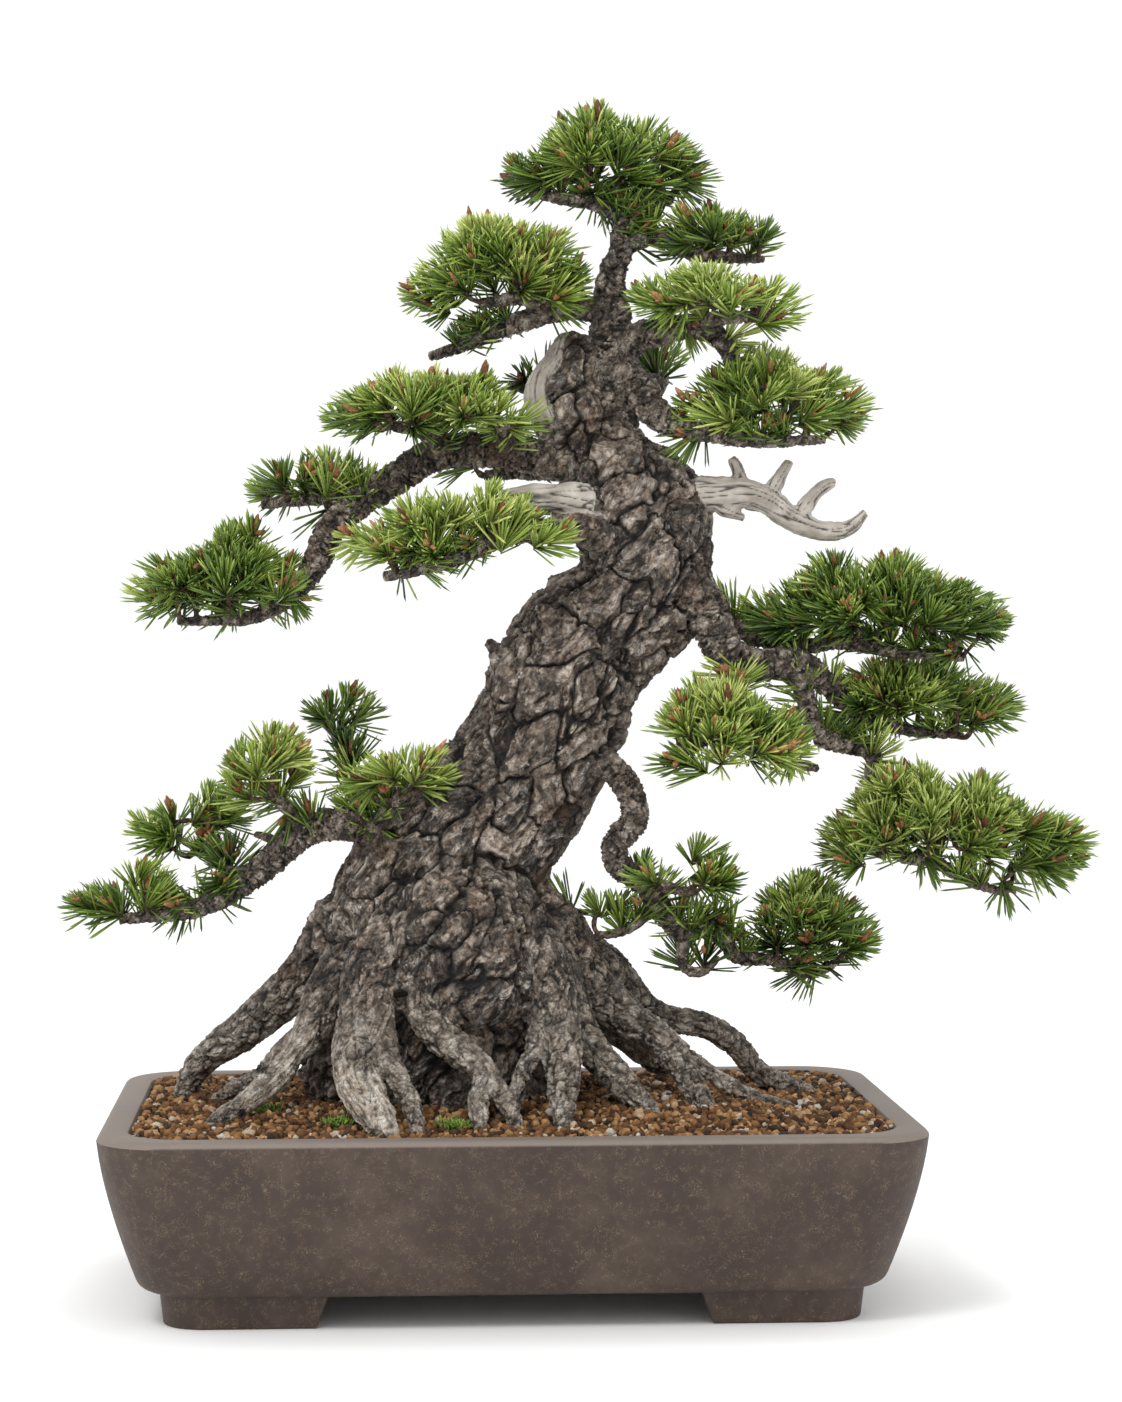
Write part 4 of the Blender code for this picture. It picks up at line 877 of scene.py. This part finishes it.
def plates(place, kind):
    # height in mm; whether on a plate, darkened by painted shade in its cracks, between chips and under tilted
    # chips; a flake's edge, where a painted highlight goes; the plate's own shade; and the layer
    lengthwise, across, crevice, layer = barkKinds[kind]
    spot = Vector((place[0] / lengthwise, place[1] / across, place[2] / across))
    for often, far in platePattern["bends"]:
        spot += noiseVector(spot * often) * far
    (first, second, *_), (centre, *_) = noise.voronoi(spot)
    gap = platePattern["gap"] + platePattern["gapVaries"] * noise.noise(spot * 1.9 + Vector((7, 0, 0)))
    gap *= platePattern["rootGap"] if kind == "root" else 1.0
    plateAndPaintedShade = smoothOne(0.0, max(gap, platePattern["leastGap"]), second - first)
    often, far = platePattern["chipBends"]
    inner = spot * platePattern["chips"]
    inner += noiseVector(spot * often) * far
    (small, smaller, *_), (chipAt, *_) = noise.voronoi(inner)
    chip = smoothOne(0.0, platePattern["chipGap"], smaller - small)
    # each plate and each chip has a shade, a lift and a tilt of its own
    shade = 0.55 * noise.cell(centre * 9.7) + 0.45 * noise.cell(chipAt * 7.3)
    dome = max(0.0, 1 - first * 1.1)
    tilt = (inner - chipAt).dot(noiseVector(chipAt * 5.3).normalized())
    rise = dome * platePattern["layersUp"] + noise.cell(chipAt * 3.1) * platePattern["chipLift"]
    rise += noise.noise(spot * 3.2) * platePattern["layerWave"]
    step = rise - math.floor(rise)
    terrace = math.floor(rise) + smoothOne(0.75, 1.0, step)
    # painted highlight: on the raised side of each tilted chip and the top of each layer's edge
    flake = max(smoothOne(0.05, 0.4, tilt), smoothOne(0.5, 0.9, step) * 0.8) * plateAndPaintedShade
    seam = 1 - smoothOne(0.0, 0.18, step)
    under = 1 - smoothOne(-0.5, -0.15, tilt)
    layered = layer * (terrace * 0.32 + tilt * platePattern["chipTilt"])
    height = plateAndPaintedShade * (crevice * (0.55 + 0.45 * dome) + layered) - crevice * 0.7
    height += layer * (noise.noise(spot * 20) * 0.45 - (1 - chip) * 0.7)      # grit, and gaps between chips
    # painted shade: darker between chips, at the foot of each layer and under the low side of a tilted chip
    plateAndPaintedShade *= (0.75 + 0.25 * chip) * (1 - 0.3 * seam) * (1 - 0.25 * under)
    return height, plateAndPaintedShade, flake, shade, rise + tilt * 3


def blend(one, other, share):
    return [a + (b - a) * share for a, b in zip(one, other)]


def barkOf(index, local, radius, along, place):
    # height, plate, flake, shade, layer, pale and dead at one point
    # local is in millimetres, with its first value along the limb
    kind = limbKind(limbNames[index])
    share = smoothOne(*ownBark[kind], along)
    fibre = Vector((local[0] * fibreStretch, local[1], local[2]))
    (grooveSize, grooveDepth), (crackSize, crackDepth), (lumpSize, lumpHeight), (sawSize, sawHeight) = (
        deadGrain[part] for part in ("grooves", "cracks", "lumps", "saw"))
    ridge = 1 - abs(noise.noise(fibre / grooveSize + Vector((0, index, 0)))) * 2
    height = -grooveDepth * smoothOne(0.66, 1.0, ridge) - crackDepth * abs(noise.noise(fibre / crackSize))
    height += lumpHeight * noise.noise(Vector(local) / lumpSize)
    height += sawHeight * noise.noise(Vector(local) / sawSize)
    height *= min(1.0, radius / fullBark["bough"])
    # its flake value marks the grooves, which the deadwood finish darkens as painted shade
    dead = [height, 1.0, 1 - smoothOne(0.6, 0.96, ridge), 0.5, 0.0, 0.0, 1.0]
    if kind == "dead":
        return dead
    trunkLike, own = None, None
    if share < 1:
        right, up = woodShape["flow"]
        x, y, z = (value / mm for value in place)
        height, plateAndPaintedShade, flake, shade, layer = plates((x * right + z * up, x * up - z * right, y), "trunk")
        scale = min(1.0, radius / fullBark["trunk"])
        trunkLike = [height * scale, plateAndPaintedShade, flake, shade, layer, 0.0, 0.0]
    if share > 0:
        height, plateAndPaintedShade, flake, shade, layer = plates(local, kind)
        scale = min(1.0, radius / fullBark["bough"])
        ring = local[0] / ringWidth[kind] + 1.4 * noise.noise(Vector(local) / 8) + index * 0.3
        ring -= math.floor(ring)
        groove = 1 - smoothOne(0.0, 0.2, ring) * (1 - smoothOne(0.93, 1.0, ring))
        if kind == "bough":
            height += boughRings[0] * ring - boughRings[1] * groove
            shade = min(shade + 0.3, 1.0)
            # painted shade in the groove between wrinkles
            plateAndPaintedShade *= 1 - 0.6 * groove
            # painted highlight on the crest of each wrinkle
            flake = 0.5 * flake + 0.5 * smoothOne(0.55, 0.9, ring)
        own = [height * scale, plateAndPaintedShade, flake, shade, layer, 0.06, 0.0]
        if kind == "root":
            low, high = bareRoots[1], bareRoots[0]
            lowness = 1 - smoothOne(low, high, (place[2] - rimHeight) / mm)
            bare = smoothOne(-0.3, 0.15, noise.noise(Vector(local) / 26 + Vector((index * 3.1, 0, 0))))
            bare *= lowness * bareRootShare.get(limbNames[index], otherBareShare)
            # the fibres of bare wood
            ridge = abs(noise.noise(fibre / 3.2)) * 2
            crack = smoothOne(0.0, 0.16, abs(noise.noise(fibre / 1.9 + Vector((0, 9, index)))))
            stripe = 2.4 * min(ridge, 0.7) - 1.2 + 0.8 * crack + 1.6 * noise.noise(Vector(local) / 9)
            # painted shade: darker in the grooves and cracks of the bare wood
            light = (0.25 + 0.75 * smoothOne(0.0, 0.35, ridge)) * (0.35 + 0.65 * crack)
            own = blend(own, [stripe * scale, light, 0.3, shade, ridge, 1.0, 0.0], bare * 0.95)
            cracked = lowness * (1 - 0.8 * bare)
            own[0] += cracked * (rootCracks[0] * ring - rootCracks[1] * groove)
            # painted shade in the cracks across a root
            own[1] *= 1 - 0.8 * groove * cracked
            own[5] = lowness * (0.65 + 0.35 * bare)
    if own is None:
        bare = smoothOne(*bareTop, (place[2] - rimHeight) / mm)
        bare *= smoothOne(0.4, 0.62, local[2] * mm / radius + 0.2 * noise.noise(Vector(local) / 16))
        return blend(trunkLike, dead, bare) if limbNames[index] == "trunk" else trunkLike
    return own if trunkLike is None else blend(trunkLike, own, share)


wood, samples = growWood()
limbNames = list(limbs)
places = points(wood)
print("stage: limbs,", len(places), "points")
nearest = nearestSamples(places, samples)
own = samples[nearest]
offset = places - own[:, :3]
along = (offset * own[:, 3:6]).sum(1) + own[:, 10]
acrossWay = np.cross(own[:, 3:6], own[:, 6:9])
local = np.stack([along, (offset * own[:, 6:9]).sum(1), (offset * acrossWay).sum(1)], 1) / mm
normals = np.empty(len(places) * 3, np.float32)
wood.data.vertices.foreach_get("normal", normals)
normals = normals.reshape(-1, 3)
bark = np.array([
    barkOf(int(row[11]), spot, row[9], row[10] / mm, place)
    for row, spot, place in zip(own, local.tolist(), places)])
burl = np.array([noise.noise(Vector(place) * woodShape["burls"]) for place in places])
burl *= woodShape["burlShare"] * own[:, 9] * np.isin([limbKind(limbNames[int(i)]) for i in own[:, 11]], "trunk")

# where two limbs meet, the two patterns are eased into each other
ends = np.empty(len(wood.data.edges) * 2, np.int32)
wood.data.edges.foreach_get("vertices", ends)
ends = ends.reshape(-1, 2)
meeting = own[ends[:, 0], 11] != own[ends[:, 1], 11]
near = np.zeros(len(places), bool)
near[ends[meeting].ravel()] = True
for _ in range(woodShape["easedRows"]):
    touched = near[ends].any(1)
    near[ends[touched].ravel()] = True
height = bark[:, 0].copy()
for _ in range(woodShape["easing"]):
    total = np.zeros(len(places))
    count = np.zeros(len(places))
    for a, b in ((0, 1), (1, 0)):
        np.add.at(total, ends[:, a], height[ends[:, b]])
        np.add.at(count, ends[:, a], 1)
    height = np.where(near, total / np.maximum(count, 1), height)
places += normals * (height * mm + burl)[:, None]
wood.data.vertices.foreach_set("co", places.astype(np.float32).ravel())
wood.data.update()
for column, key in enumerate(("plate", "flake", "shade", "layers", "pale"), start=1):
    setAttribute(wood.data, key, bark[:, column])
wood.data.materials.clear()
wood.data.materials.append(pineBark)
wood.data.materials.append(deadWood)
dead = bark[:, 6] > 0.5
corners = np.empty(len(wood.data.loops), np.int32)
wood.data.loops.foreach_get("vertex_index", corners)
isDead = dead[corners].reshape(-1, 4).mean(1) > 0.5
wood.data.polygons.foreach_set("material_index", isDead.astype(np.int32))
wood.data.polygons.foreach_set("use_smooth", np.ones(len(wood.data.polygons), bool))
print("stage: bark")

woodTree = BVHTree.FromPolygons(places.tolist(), [face.vertices[:] for face in wood.data.polygons])


def splitWood(names):
    # closed pieces of equal fineness between level cuts
    levels = [None, *np.quantile(points(wood)[:, 2], np.arange(1, len(names)) / len(names)), None]
    for name, low, high in zip(names, levels, levels[1:]):
        piece = wood.copy()
        piece.data = wood.data.copy()
        piece.name = name
        bpy.context.scene.collection.objects.link(piece)
        activate(piece)
        bpy.ops.object.mode_set(mode="EDIT")
        for level, above in ((low, True), (high, False)):
            if level is None:
                continue
            bpy.ops.mesh.select_all(action="SELECT")
            bpy.ops.mesh.bisect(
                plane_co=(0, 0, level), plane_no=(0, 0, 1), clear_inner=above, clear_outer=not above)
        bpy.ops.mesh.select_all(action="SELECT")
        bpy.ops.mesh.fill_holes(sides=0)
        bpy.ops.object.mode_set(mode="OBJECT")
        for face in piece.data.polygons:
            if len(face.vertices) > 6:      # a closed cut, which must not tilt the bark's normals
                face.use_smooth = False
        finishPiece(piece, "bark", "trunk_roots_and_branches")
    bpy.data.objects.remove(wood)


splitWood(("rootTips", "roots", "rootCrown", "lowerTrunk", "middleTrunk", "upperTrunk", "leaderAndHighBoughs"))
print("stage: wood")


# Needles

needles = {
    "length": (24 * mm, 30 * mm),
    "shortest": 16 * mm,
    "past": (-3 * mm, 11 * mm),   # how far the tips go past the cloud's outline
    "room": 11.5 * mm,            # from a shoot to the outline, the way that it grows
    "width": 1.55 * mm,
    "pointFrom": 0.84,            # a needle narrows from here on, as a share of its length
    "perTuft": 40,
    "lean": (4, 62),              # from the shoot's own way, in degrees
    "tuftSpacing": 15.4 * mm,
    "shake": 0.36,                # how far a shoot strays from its grid, in spacings
    "upward": 0.62,               # how far the shoots turn up
    "straying": 0.18,
    # painted light: the second number raises the tint towards a cloud's top
    "tint": (0.32, 0.36, 0.12),   # at a cloud's underside, more at its top, and how it strays
    "bend": 0.5 * mm,
    "lift": 1.4 * mm,             # how far the tip of a level needle turns up
    "shallowest": 2.5 * mm,
    "thinBough": 6.5 * mm,        # boughs thinner than this grow shoots of their own
    "alongBough": 11 * mm,        # between these shoots
    "ownReach": 45 * mm,          # and no further than this from a cloud
    "sunny": 0.16,                # how much lighter the pads in the light are
    "lit": ("front", "low_left_front", "low_left_inner", "mid_left_crown", "high_left", "shoulder",
            "right", "great_front", "great_middle", "great_low"),
}


def needleShape():
    # a three-sided needle of length 1 and radius 1 that keeps its width almost to the blunt tip
    bpy.ops.mesh.primitive_cone_add(vertices=3, radius1=1, radius2=0, depth=1, location=(0, 0, 0.5))
    needle = bpy.context.active_object
    bpy.ops.object.transform_apply(location=True, rotation=False, scale=False)
    bpy.ops.object.mode_set(mode="EDIT")
    bpy.ops.mesh.select_all(action="SELECT")
    bpy.ops.mesh.bisect(plane_co=(0, 0, needles["pointFrom"]), plane_no=(0, 0, 1))
    bpy.ops.object.mode_set(mode="OBJECT")
    for vertex in needle.data.vertices:
        wide = 0.75 if vertex.co.z < 0.2 else 0.95
        away = math.hypot(vertex.co.x, vertex.co.y)
        if away > 0.01:
            vertex.co.x *= wide / away
            vertex.co.y *= wide / away
    return asTriangles(needle)


def anyAcross(ways):
    helperWay = np.where(np.abs(ways[:, 2:]) < 0.9, [[0, 0, 1.0]], [[1.0, 0, 0]])
    side = np.cross(ways, helperWay)
    return side / np.linalg.norm(side, axis=1, keepdims=True)


def spreadShapes(shape, roots, ways, lengths, widths, bends, turns):
    # the shape once for each root, its Z along the way, bent by the bend
    base, corners = shape
    side = anyAcross(ways)
    other = np.cross(ways, side)
    cosine, sine = np.cos(turns)[:, None], np.sin(turns)[:, None]
    side, other = side * cosine + other * sine, other * cosine - side * sine
    t = base[:, 2]
    made = roots[:, None] + ways[:, None] * (t[None, :, None] * lengths[:, None, None])
    made += bends[:, None] * (t[None, :, None] ** 2)
    made += side[:, None] * (base[None, :, 0:1] * widths[:, None, None])
    made += other[:, None] * (base[None, :, 1:2] * widths[:, None, None])
    faces = corners[None] + np.arange(len(roots))[:, None, None] * len(base)
    return made.reshape(-1, 3), faces.reshape(-1, 3), t


def growthWay(outward, rng):
    upward = Vector((0, 0, needles["upward"]))
    return (outward + upward + Vector(rng.normal(0, needles["straying"], 3))).normalized()


def tuftPlaces(node, cloud, rng):
    # shoots stand on a shaken grid inside the cloud that their needle tips reach
    low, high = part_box(node)
    middle, half = (low + high) / 2, (high - low) / 2
    gap = needles["tuftSpacing"]
    found = []
    counts = [int((high[i] - low[i]) / gap) + 2 for i in range(3)]
    for ix in range(counts[0]):
        for iy in range(counts[1]):
            for iz in range(counts[2]):
                shake = rng.uniform(-needles["shake"], needles["shake"], 3)
                spot = Vector([low[i] + (n + shake[i]) * gap for i, n in enumerate((ix, iy, iz))])
                near, normal, _, distance = cloud.find_nearest(spot)
                if (near - spot).dot(normal) < 0 or distance < needles["shallowest"]:
                    continue
                outward = Vector([(spot[i] - middle[i]) / half[i] for i in range(3)])
                outward.z *= 0.75
                way = growthWay(outward, rng)
                _, _, _, reach = cloud.ray_cast(spot, way)
                if reach is None or reach > needles["room"]:
                    found.append((spot, way))
    return found


def makeNeedles(node, shape, rng, cloud, tufts):
    roots, ways, lengths, tints = [], [], [], []
    low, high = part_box(node)
    lit = needles["sunny"] if node.removeprefix("needles_") in needles["lit"] else 0.0
    count = needles["perTuft"]
    leastLean, moreLean = needles["lean"]
    lowTint, paintedTopLight, strayTint = needles["tint"]
    for spot, axis in tufts:
        raised = min(max((spot.z - low.z) / (high.z - low.z), 0), 1)
        # painted light: lighter high in a cloud and in the lit clouds
        tuftTintAndPaintedLight = lowTint + paintedTopLight * raised + lit + rng.normal(0, strayTint)
        side = anyAcross(np.array([axis]))[0]
        other = np.cross(axis, side)
        turn = rng.uniform(0, 2 * math.pi, count)
        lean = np.radians(leastLean + moreLean * rng.uniform(0, 1, count) ** 0.85)
        around = side[None] * np.cos(turn)[:, None] + other[None] * np.sin(turn)[:, None]
        way = np.array(axis)[None] * np.cos(lean)[:, None] + around * np.sin(lean)[:, None]
        way /= np.linalg.norm(way, axis=1, keepdims=True)
        start = np.array(spot)[None] + np.array(axis)[None] * (3 * mm - lean[:, None] * 8 * mm)
        length = rng.uniform(*needles["length"], count)
        standsOut = rng.uniform(*needles["past"])
        for i in range(count):      # the tips end about where the cloud does
            _, _, _, reach = cloud.ray_cast(Vector(start[i]), Vector(way[i]))
            if reach is not None:
                past = standsOut + rng.uniform(-2, 3) * mm - 7 * mm * way[i][2]
                length[i] = min(length[i], max(reach + past, needles["shortest"]))
        roots.append(start)
        ways.append(way)
        lengths.append(length)
        # painted light: needles that point up are a little lighter
        tints.append(np.clip(tuftTintAndPaintedLight + rng.normal(0, 0.17, count) + 0.08 * way[:, 2], 0, 1))
    roots, ways = np.concatenate(roots), np.concatenate(ways)
    lengths, tints = np.concatenate(lengths), np.concatenate(tints)
    bends = rng.normal(0, needles["bend"], roots.shape)
    bends[:, 2] += needles["lift"] * (1 - np.abs(ways[:, 2]))
    widths = needles["width"] / 2 * rng.uniform(0.85, 1.12, len(roots))
    turns = rng.uniform(0, 2 * math.pi, len(roots))
    vertices, faces, t = spreadShapes(shape, roots, ways, lengths, widths, bends, turns)
    name = "needles" + "".join(word.capitalize() for word in node.split("_")[1:])
    made = meshFrom(
        name, vertices, faces, needleGreen,
        {"tint": np.repeat(tints, len(t)), "along": np.tile(t, len(roots))})
    finishPiece(made, "needles", node)
    return len(faces)


needle = needleShape()
padNodes = sorted(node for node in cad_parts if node.startswith("needles_"))
graph = bpy.context.evaluated_depsgraph_get()
clouds = {node: BVHTree.FromObject(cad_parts[node], graph) for node in padNodes}


def boughTufts(rng):
    # more shoots on the thin boughs near each cloud, outside it
    found = {node: [] for node in padNodes}
    last = None
    for row in samples:
        name = limbNames[int(row[11])]
        stub = name.startswith("knot") or "Stub" in name
        thin = limbKind(name) == "bough" and row[9] < needles["thinBough"] and not stub
        here = Vector(row[:3])
        if not thin or (last is not None and (here - last).length < needles["alongBough"]):
            continue
        last = here
        spot = here + Vector((rng.normal(0, 1.5), rng.normal(0, 1.5), 4)) * mm
        nearest = min(padNodes, key=lambda node: clouds[node].find_nearest(spot)[3])
        near, normal, _, distance = clouds[nearest].find_nearest(spot)
        if (near - spot).dot(normal) < 0 and distance < needles["ownReach"]:
            found[nearest].append((spot, growthWay(Vector(rng.normal(0, 0.5, 3)), rng)))
    return found


extra = boughTufts(np.random.default_rng(77))
allTufts, total = [], 0
for number, node in enumerate(padNodes):
    rng = np.random.default_rng(100 + number)
    tufts = tuftPlaces(node, clouds[node], rng) + extra[node]
    total += makeNeedles(node, needle, rng, clouds[node], tufts)
    allTufts += [(node, *tuft) for tuft in tufts]
print("stage: needles,", len(allTufts), "tufts,", total, "triangles")


# Twigs, which lead from the boughs to every tuft

twigShape = {
    "sides": 7,
    "steps": 6,
    "thickest": 2.6 * mm,     # radii, at a bough, at another twig and at the tip
    "onTwig": 1.7 * mm,
    "tip": 1.3 * mm,
    "sag": 0.10,              # as a share of the length
    "wander": 0.09,
    "shorter": 0.72,          # a twig starts from another where that makes it this much shorter
    "shortest": 3 * mm,
}


def twigRuns():
    # each tuft joins the nearest wood or tuft that is already joined
    living = samples[[limbKind(limbNames[int(i)]) == "bough" for i in samples[:, 11]]]
    spots = [Vector(tuft[1]) for tuft in allTufts]
    runs, distances, placed = [], [], []
    for spot in spots:
        gaps = np.linalg.norm(living[:, :3] - np.array(spot), axis=1)
        best = int(gaps.argmin())
        distances.append((float(gaps[best]), best))
    order = sorted(range(len(spots)), key=lambda i: distances[i][0])
    for rank, i in enumerate(order):
        gap, best = distances[i]
        start = Vector(living[best, :3])
        radius = min(float(living[best, 9]) * 0.7, twigShape["thickest"])
        if placed:
            if rank % 12 == 0 or rank == 1:      # now and then, which saves time
                tree = KDTree(len(placed))
                for j, k in enumerate(placed):
                    tree.insert(spots[k], j)
                tree.balance()
            near, j, reach = tree.find(spots[i])
            if twigShape["shortest"] < reach < gap * twigShape["shorter"]:
                start, radius = near, twigShape["onTwig"]
        runs.append((start, spots[i], radius))
        placed.append(i)
    return runs


def makeTwigs(runs):
    sides, steps = twigShape["sides"], twigShape["steps"]
    rng = np.random.default_rng(7)
    vertices, faces = [], []
    for start, end, radius in runs:
        way = end - start
        sag = Vector(rng.normal(0, twigShape["wander"], 3)) * way.length
        sag.z -= twigShape["sag"] * way.length
        tangent = way.normalized() if way.length > 0 else Vector((0, 0, 1))
        side = Vector(anyAcross(np.array([tangent]))[0])
        other = tangent.cross(side)
        first = len(vertices)
        for step in range(steps + 1):
            t = step / steps
            centre = start + way * t + sag * (4 * t * (1 - t))
            wide = (radius * (1 - t) + twigShape["tip"] * t) * (1 + rng.uniform(-0.28, 0.28))
            for k in range(sides):
                angle = 2 * math.pi * k / sides
                vertices.append(centre + (side * math.cos(angle) + other * math.sin(angle)) * wide)
        for step in range(steps):
            for k in range(sides):
                a = first + step * sides + k
                b = first + step * sides + (k + 1) % sides
                faces += [(a, b, b + sides), (a, b + sides, a + sides)]
        last = first + steps * sides
        for k in range(1, sides - 1):
            faces.append((first, first + k + 1, first + k))
            faces.append((last, last + k, last + k + 1))
    made = meshFrom("twigs", np.array(vertices), np.array(faces), twigBark)
    finishPiece(made, "bark")


makeTwigs(twigRuns())
print("stage: twigs")


# Buds and young cones at the tips of many shoots

budShape = {"share": 0.6, "length": (6 * mm, 10 * mm), "width": 2.1 * mm, "spread": 0.55}


def makeBuds():
    bpy.ops.mesh.primitive_uv_sphere_add(segments=8, ring_count=7, radius=1)
    bud = bpy.context.active_object
    for vertex in bud.data.vertices:      # scales in a spiral, and a narrow tip
        share = (vertex.co.z + 1) / 2
        turn = math.atan2(vertex.co.y, vertex.co.x) / math.pi * 4 + share * 8
        scale = (1.0 + 0.26 * math.cos(turn * math.pi)) * (1.05 - 0.42 * share)
        vertex.co.x *= scale
        vertex.co.y *= scale
        vertex.co.z = share
    shape = asTriangles(bud)
    rng = np.random.default_rng(11)
    roots, ways, lengths, widths, tints = [], [], [], [], []
    for node, spot, growth in allTufts:
        if rng.uniform() > budShape["share"]:
            continue
        axis = (growth + Vector((0, -0.2, 0.4))).normalized()
        tint = rng.uniform(0.0, 1.0)
        for number in range(rng.integers(2, 6)):      # a cluster round the shoot's tip
            way = (axis + Vector(rng.normal(0, 1, 3)) * budShape["spread"] * (number > 0)).normalized()
            roots.append(spot + axis * 6 * mm + way * rng.uniform(0, 3) * mm)
            ways.append(way)
            lengths.append(rng.uniform(*budShape["length"]) * (1.3 if number == 0 else 0.85))
            widths.append(budShape["width"] * rng.uniform(0.75, 1.2))
            tints.append(min(max(tint + rng.normal(0, 0.15), 0), 1))
    count = len(roots)
    vertices, faces, t = spreadShapes(
        shape, np.array(roots), np.array(ways), np.array(lengths), np.array(widths),
        np.zeros((count, 3)), rng.uniform(0, 6, count))
    made = meshFrom("budsAndCones", vertices, faces, budScales, {"tint": np.repeat(tints, len(t))})
    finishPiece(made, "needles")
    return count


print("stage:", makeBuds(), "buds")


# The soil: a dark bed, and the baked grains that lie on it

grains = {
    "spacing": 4.1 * mm,
    "size": (1.4 * mm, 3.3 * mm),
    "layers": 2,
    "upperShare": 0.55,     # of the places in the upper layer that hold a grain
    "layerRise": 1.9 * mm,
    "deepest": 12 * mm,     # no grain lies lower than this under the rim
    "offWood": 1.5 * mm,
    "pale": 0.03,           # the share of pumice
}
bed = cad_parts["soil"].copy()
bed.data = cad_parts["soil"].data.copy()
for key in list(bed.keys()):
    del bed[key]
bed.name = "soilBed"
bed.parent = None
bpy.context.scene.collection.objects.link(bed)
activate(bed)
bpy.ops.object.mode_set(mode="EDIT")
bpy.ops.mesh.select_all(action="SELECT")
bpy.ops.mesh.remove_doubles(threshold=0.01 * mm)
bpy.ops.object.mode_set(mode="OBJECT")
bed.data.materials.clear()
bed.data.materials.append(dampSoil)
bedTree = BVHTree.FromObject(bed, bpy.context.evaluated_depsgraph_get())
finishPiece(bed, "soil_grains", "soil")


def grainPlaces(rng):
    low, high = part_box("soil")
    found = []
    gap = grains["spacing"]
    for layer in range(grains["layers"]):
        columns = int((high.x - low.x) / gap)
        rows = int((high.y - low.y) / gap)
        for ix in range(columns):
            for iy in range(rows):
                x = low.x + (ix + 0.5 + 0.5 * (layer % 2) + rng.uniform(-0.45, 0.45)) * gap
                y = low.y + (iy + 0.5 + 0.5 * (layer % 2) + rng.uniform(-0.45, 0.45)) * gap
                if layer and rng.uniform() > grains["upperShare"]:
                    continue
                place, _, _, _ = bedTree.ray_cast(Vector((x, y, rimHeight + 0.1)), Vector((0, 0, -1)))
                if place is None or place.z < rimHeight - grains["deepest"]:
                    continue
                size = rng.uniform(*grains["size"]) * (1.25 if rng.uniform() < 0.08 else 1)
                spot = Vector((x, y, place.z + grains["layerRise"] * layer - 0.4 * mm))
                near, normal, _, distance = woodTree.find_nearest(spot)
                if (spot - near).dot(normal) < 0 and distance > grains["offWood"]:
                    continue
                found.append((spot, size))
    return found


def makeGrains():
    bpy.ops.mesh.primitive_ico_sphere_add(subdivisions=1, radius=1)
    shape, corners = asTriangles(bpy.context.active_object)
    rng = np.random.default_rng(23)
    spots = grainPlaces(rng)
    count = len(spots)
    lumps = rng.uniform(0.72, 1.28, (count, len(shape), 1))
    stretch = rng.uniform(0.68, 1.3, (count, 1, 3))
    turns = rng.normal(0, 1, (count, 4))
    turns /= np.linalg.norm(turns, axis=1, keepdims=True)
    w, x, y, z = turns.T
    spin = np.array([
        [1 - 2 * (y * y + z * z), 2 * (x * y - w * z), 2 * (x * z + w * y)],
        [2 * (x * y + w * z), 1 - 2 * (x * x + z * z), 2 * (y * z - w * x)],
        [2 * (x * z - w * y), 2 * (y * z + w * x), 1 - 2 * (x * x + y * y)]]).transpose(2, 0, 1)
    body = shape[None] * lumps * stretch * np.array([size for _, size in spots])[:, None, None]
    body = np.einsum("nij,nkj->nki", spin, body)
    body += np.array([list(spot) for spot, _ in spots])[:, None]
    tints = np.clip(rng.beta(1.7, 1.7, count), 0, 0.97)
    tints[rng.uniform(size=count) < grains["pale"]] = 1.0
    half = count // 2
    for number, part in enumerate((slice(0, half), slice(half, count))):
        chosen = body[part]
        faces = corners[None] + np.arange(len(chosen))[:, None, None] * len(shape)
        made = meshFrom(
            f"soilGrains{number + 1}", chosen.reshape(-1, 3), faces.reshape(-1, 3), clayGrain,
            {"tint": np.repeat(tints[part], len(shape))})
        finishPiece(made, "soil_grains")
    return count


print("stage:", makeGrains(), "grains")


# Moss and small weeds on the soil

mossShape = {"leaves": 260, "length": (3, 7.5), "width": (0.5, 0.9)}     # in millimetres


def makeMoss(node, seed):
    rng = np.random.default_rng(seed)
    low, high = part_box(node)
    middle = (low + high) / 2
    count = mossShape["leaves"]
    radius = (high.x - low.x) / 2
    turn, away = rng.uniform(0, 2 * math.pi, count), radius * np.sqrt(rng.uniform(0, 1, count))
    roots = np.stack([
        middle.x + away * np.cos(turn), middle.y + away * np.sin(turn), np.full(count, low.z - 1 * mm)], 1)
    ways = rng.normal(0, 0.5, (count, 3))
    ways[:, 2] = rng.uniform(0.5, 1.3, count)
    ways /= np.linalg.norm(ways, axis=1, keepdims=True)
    bends = rng.normal(0, 1.2 * mm, (count, 3))
    vertices, faces, t = spreadShapes(
        needle, roots, ways, rng.uniform(*mossShape["length"], count) * mm,
        rng.uniform(*mossShape["width"], count) * mm, bends, rng.uniform(0, 6, count))
    made = meshFrom(
        "moss" + node.split("_")[1].capitalize(), vertices, faces, mossGreen,
        {"tint": np.repeat(rng.uniform(0, 1, count), len(t))})
    finishPiece(made, "moss", node)


for number, node in enumerate(sorted(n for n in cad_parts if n.startswith("moss_"))):
    makeMoss(node, 300 + number)
print("stage: moss")
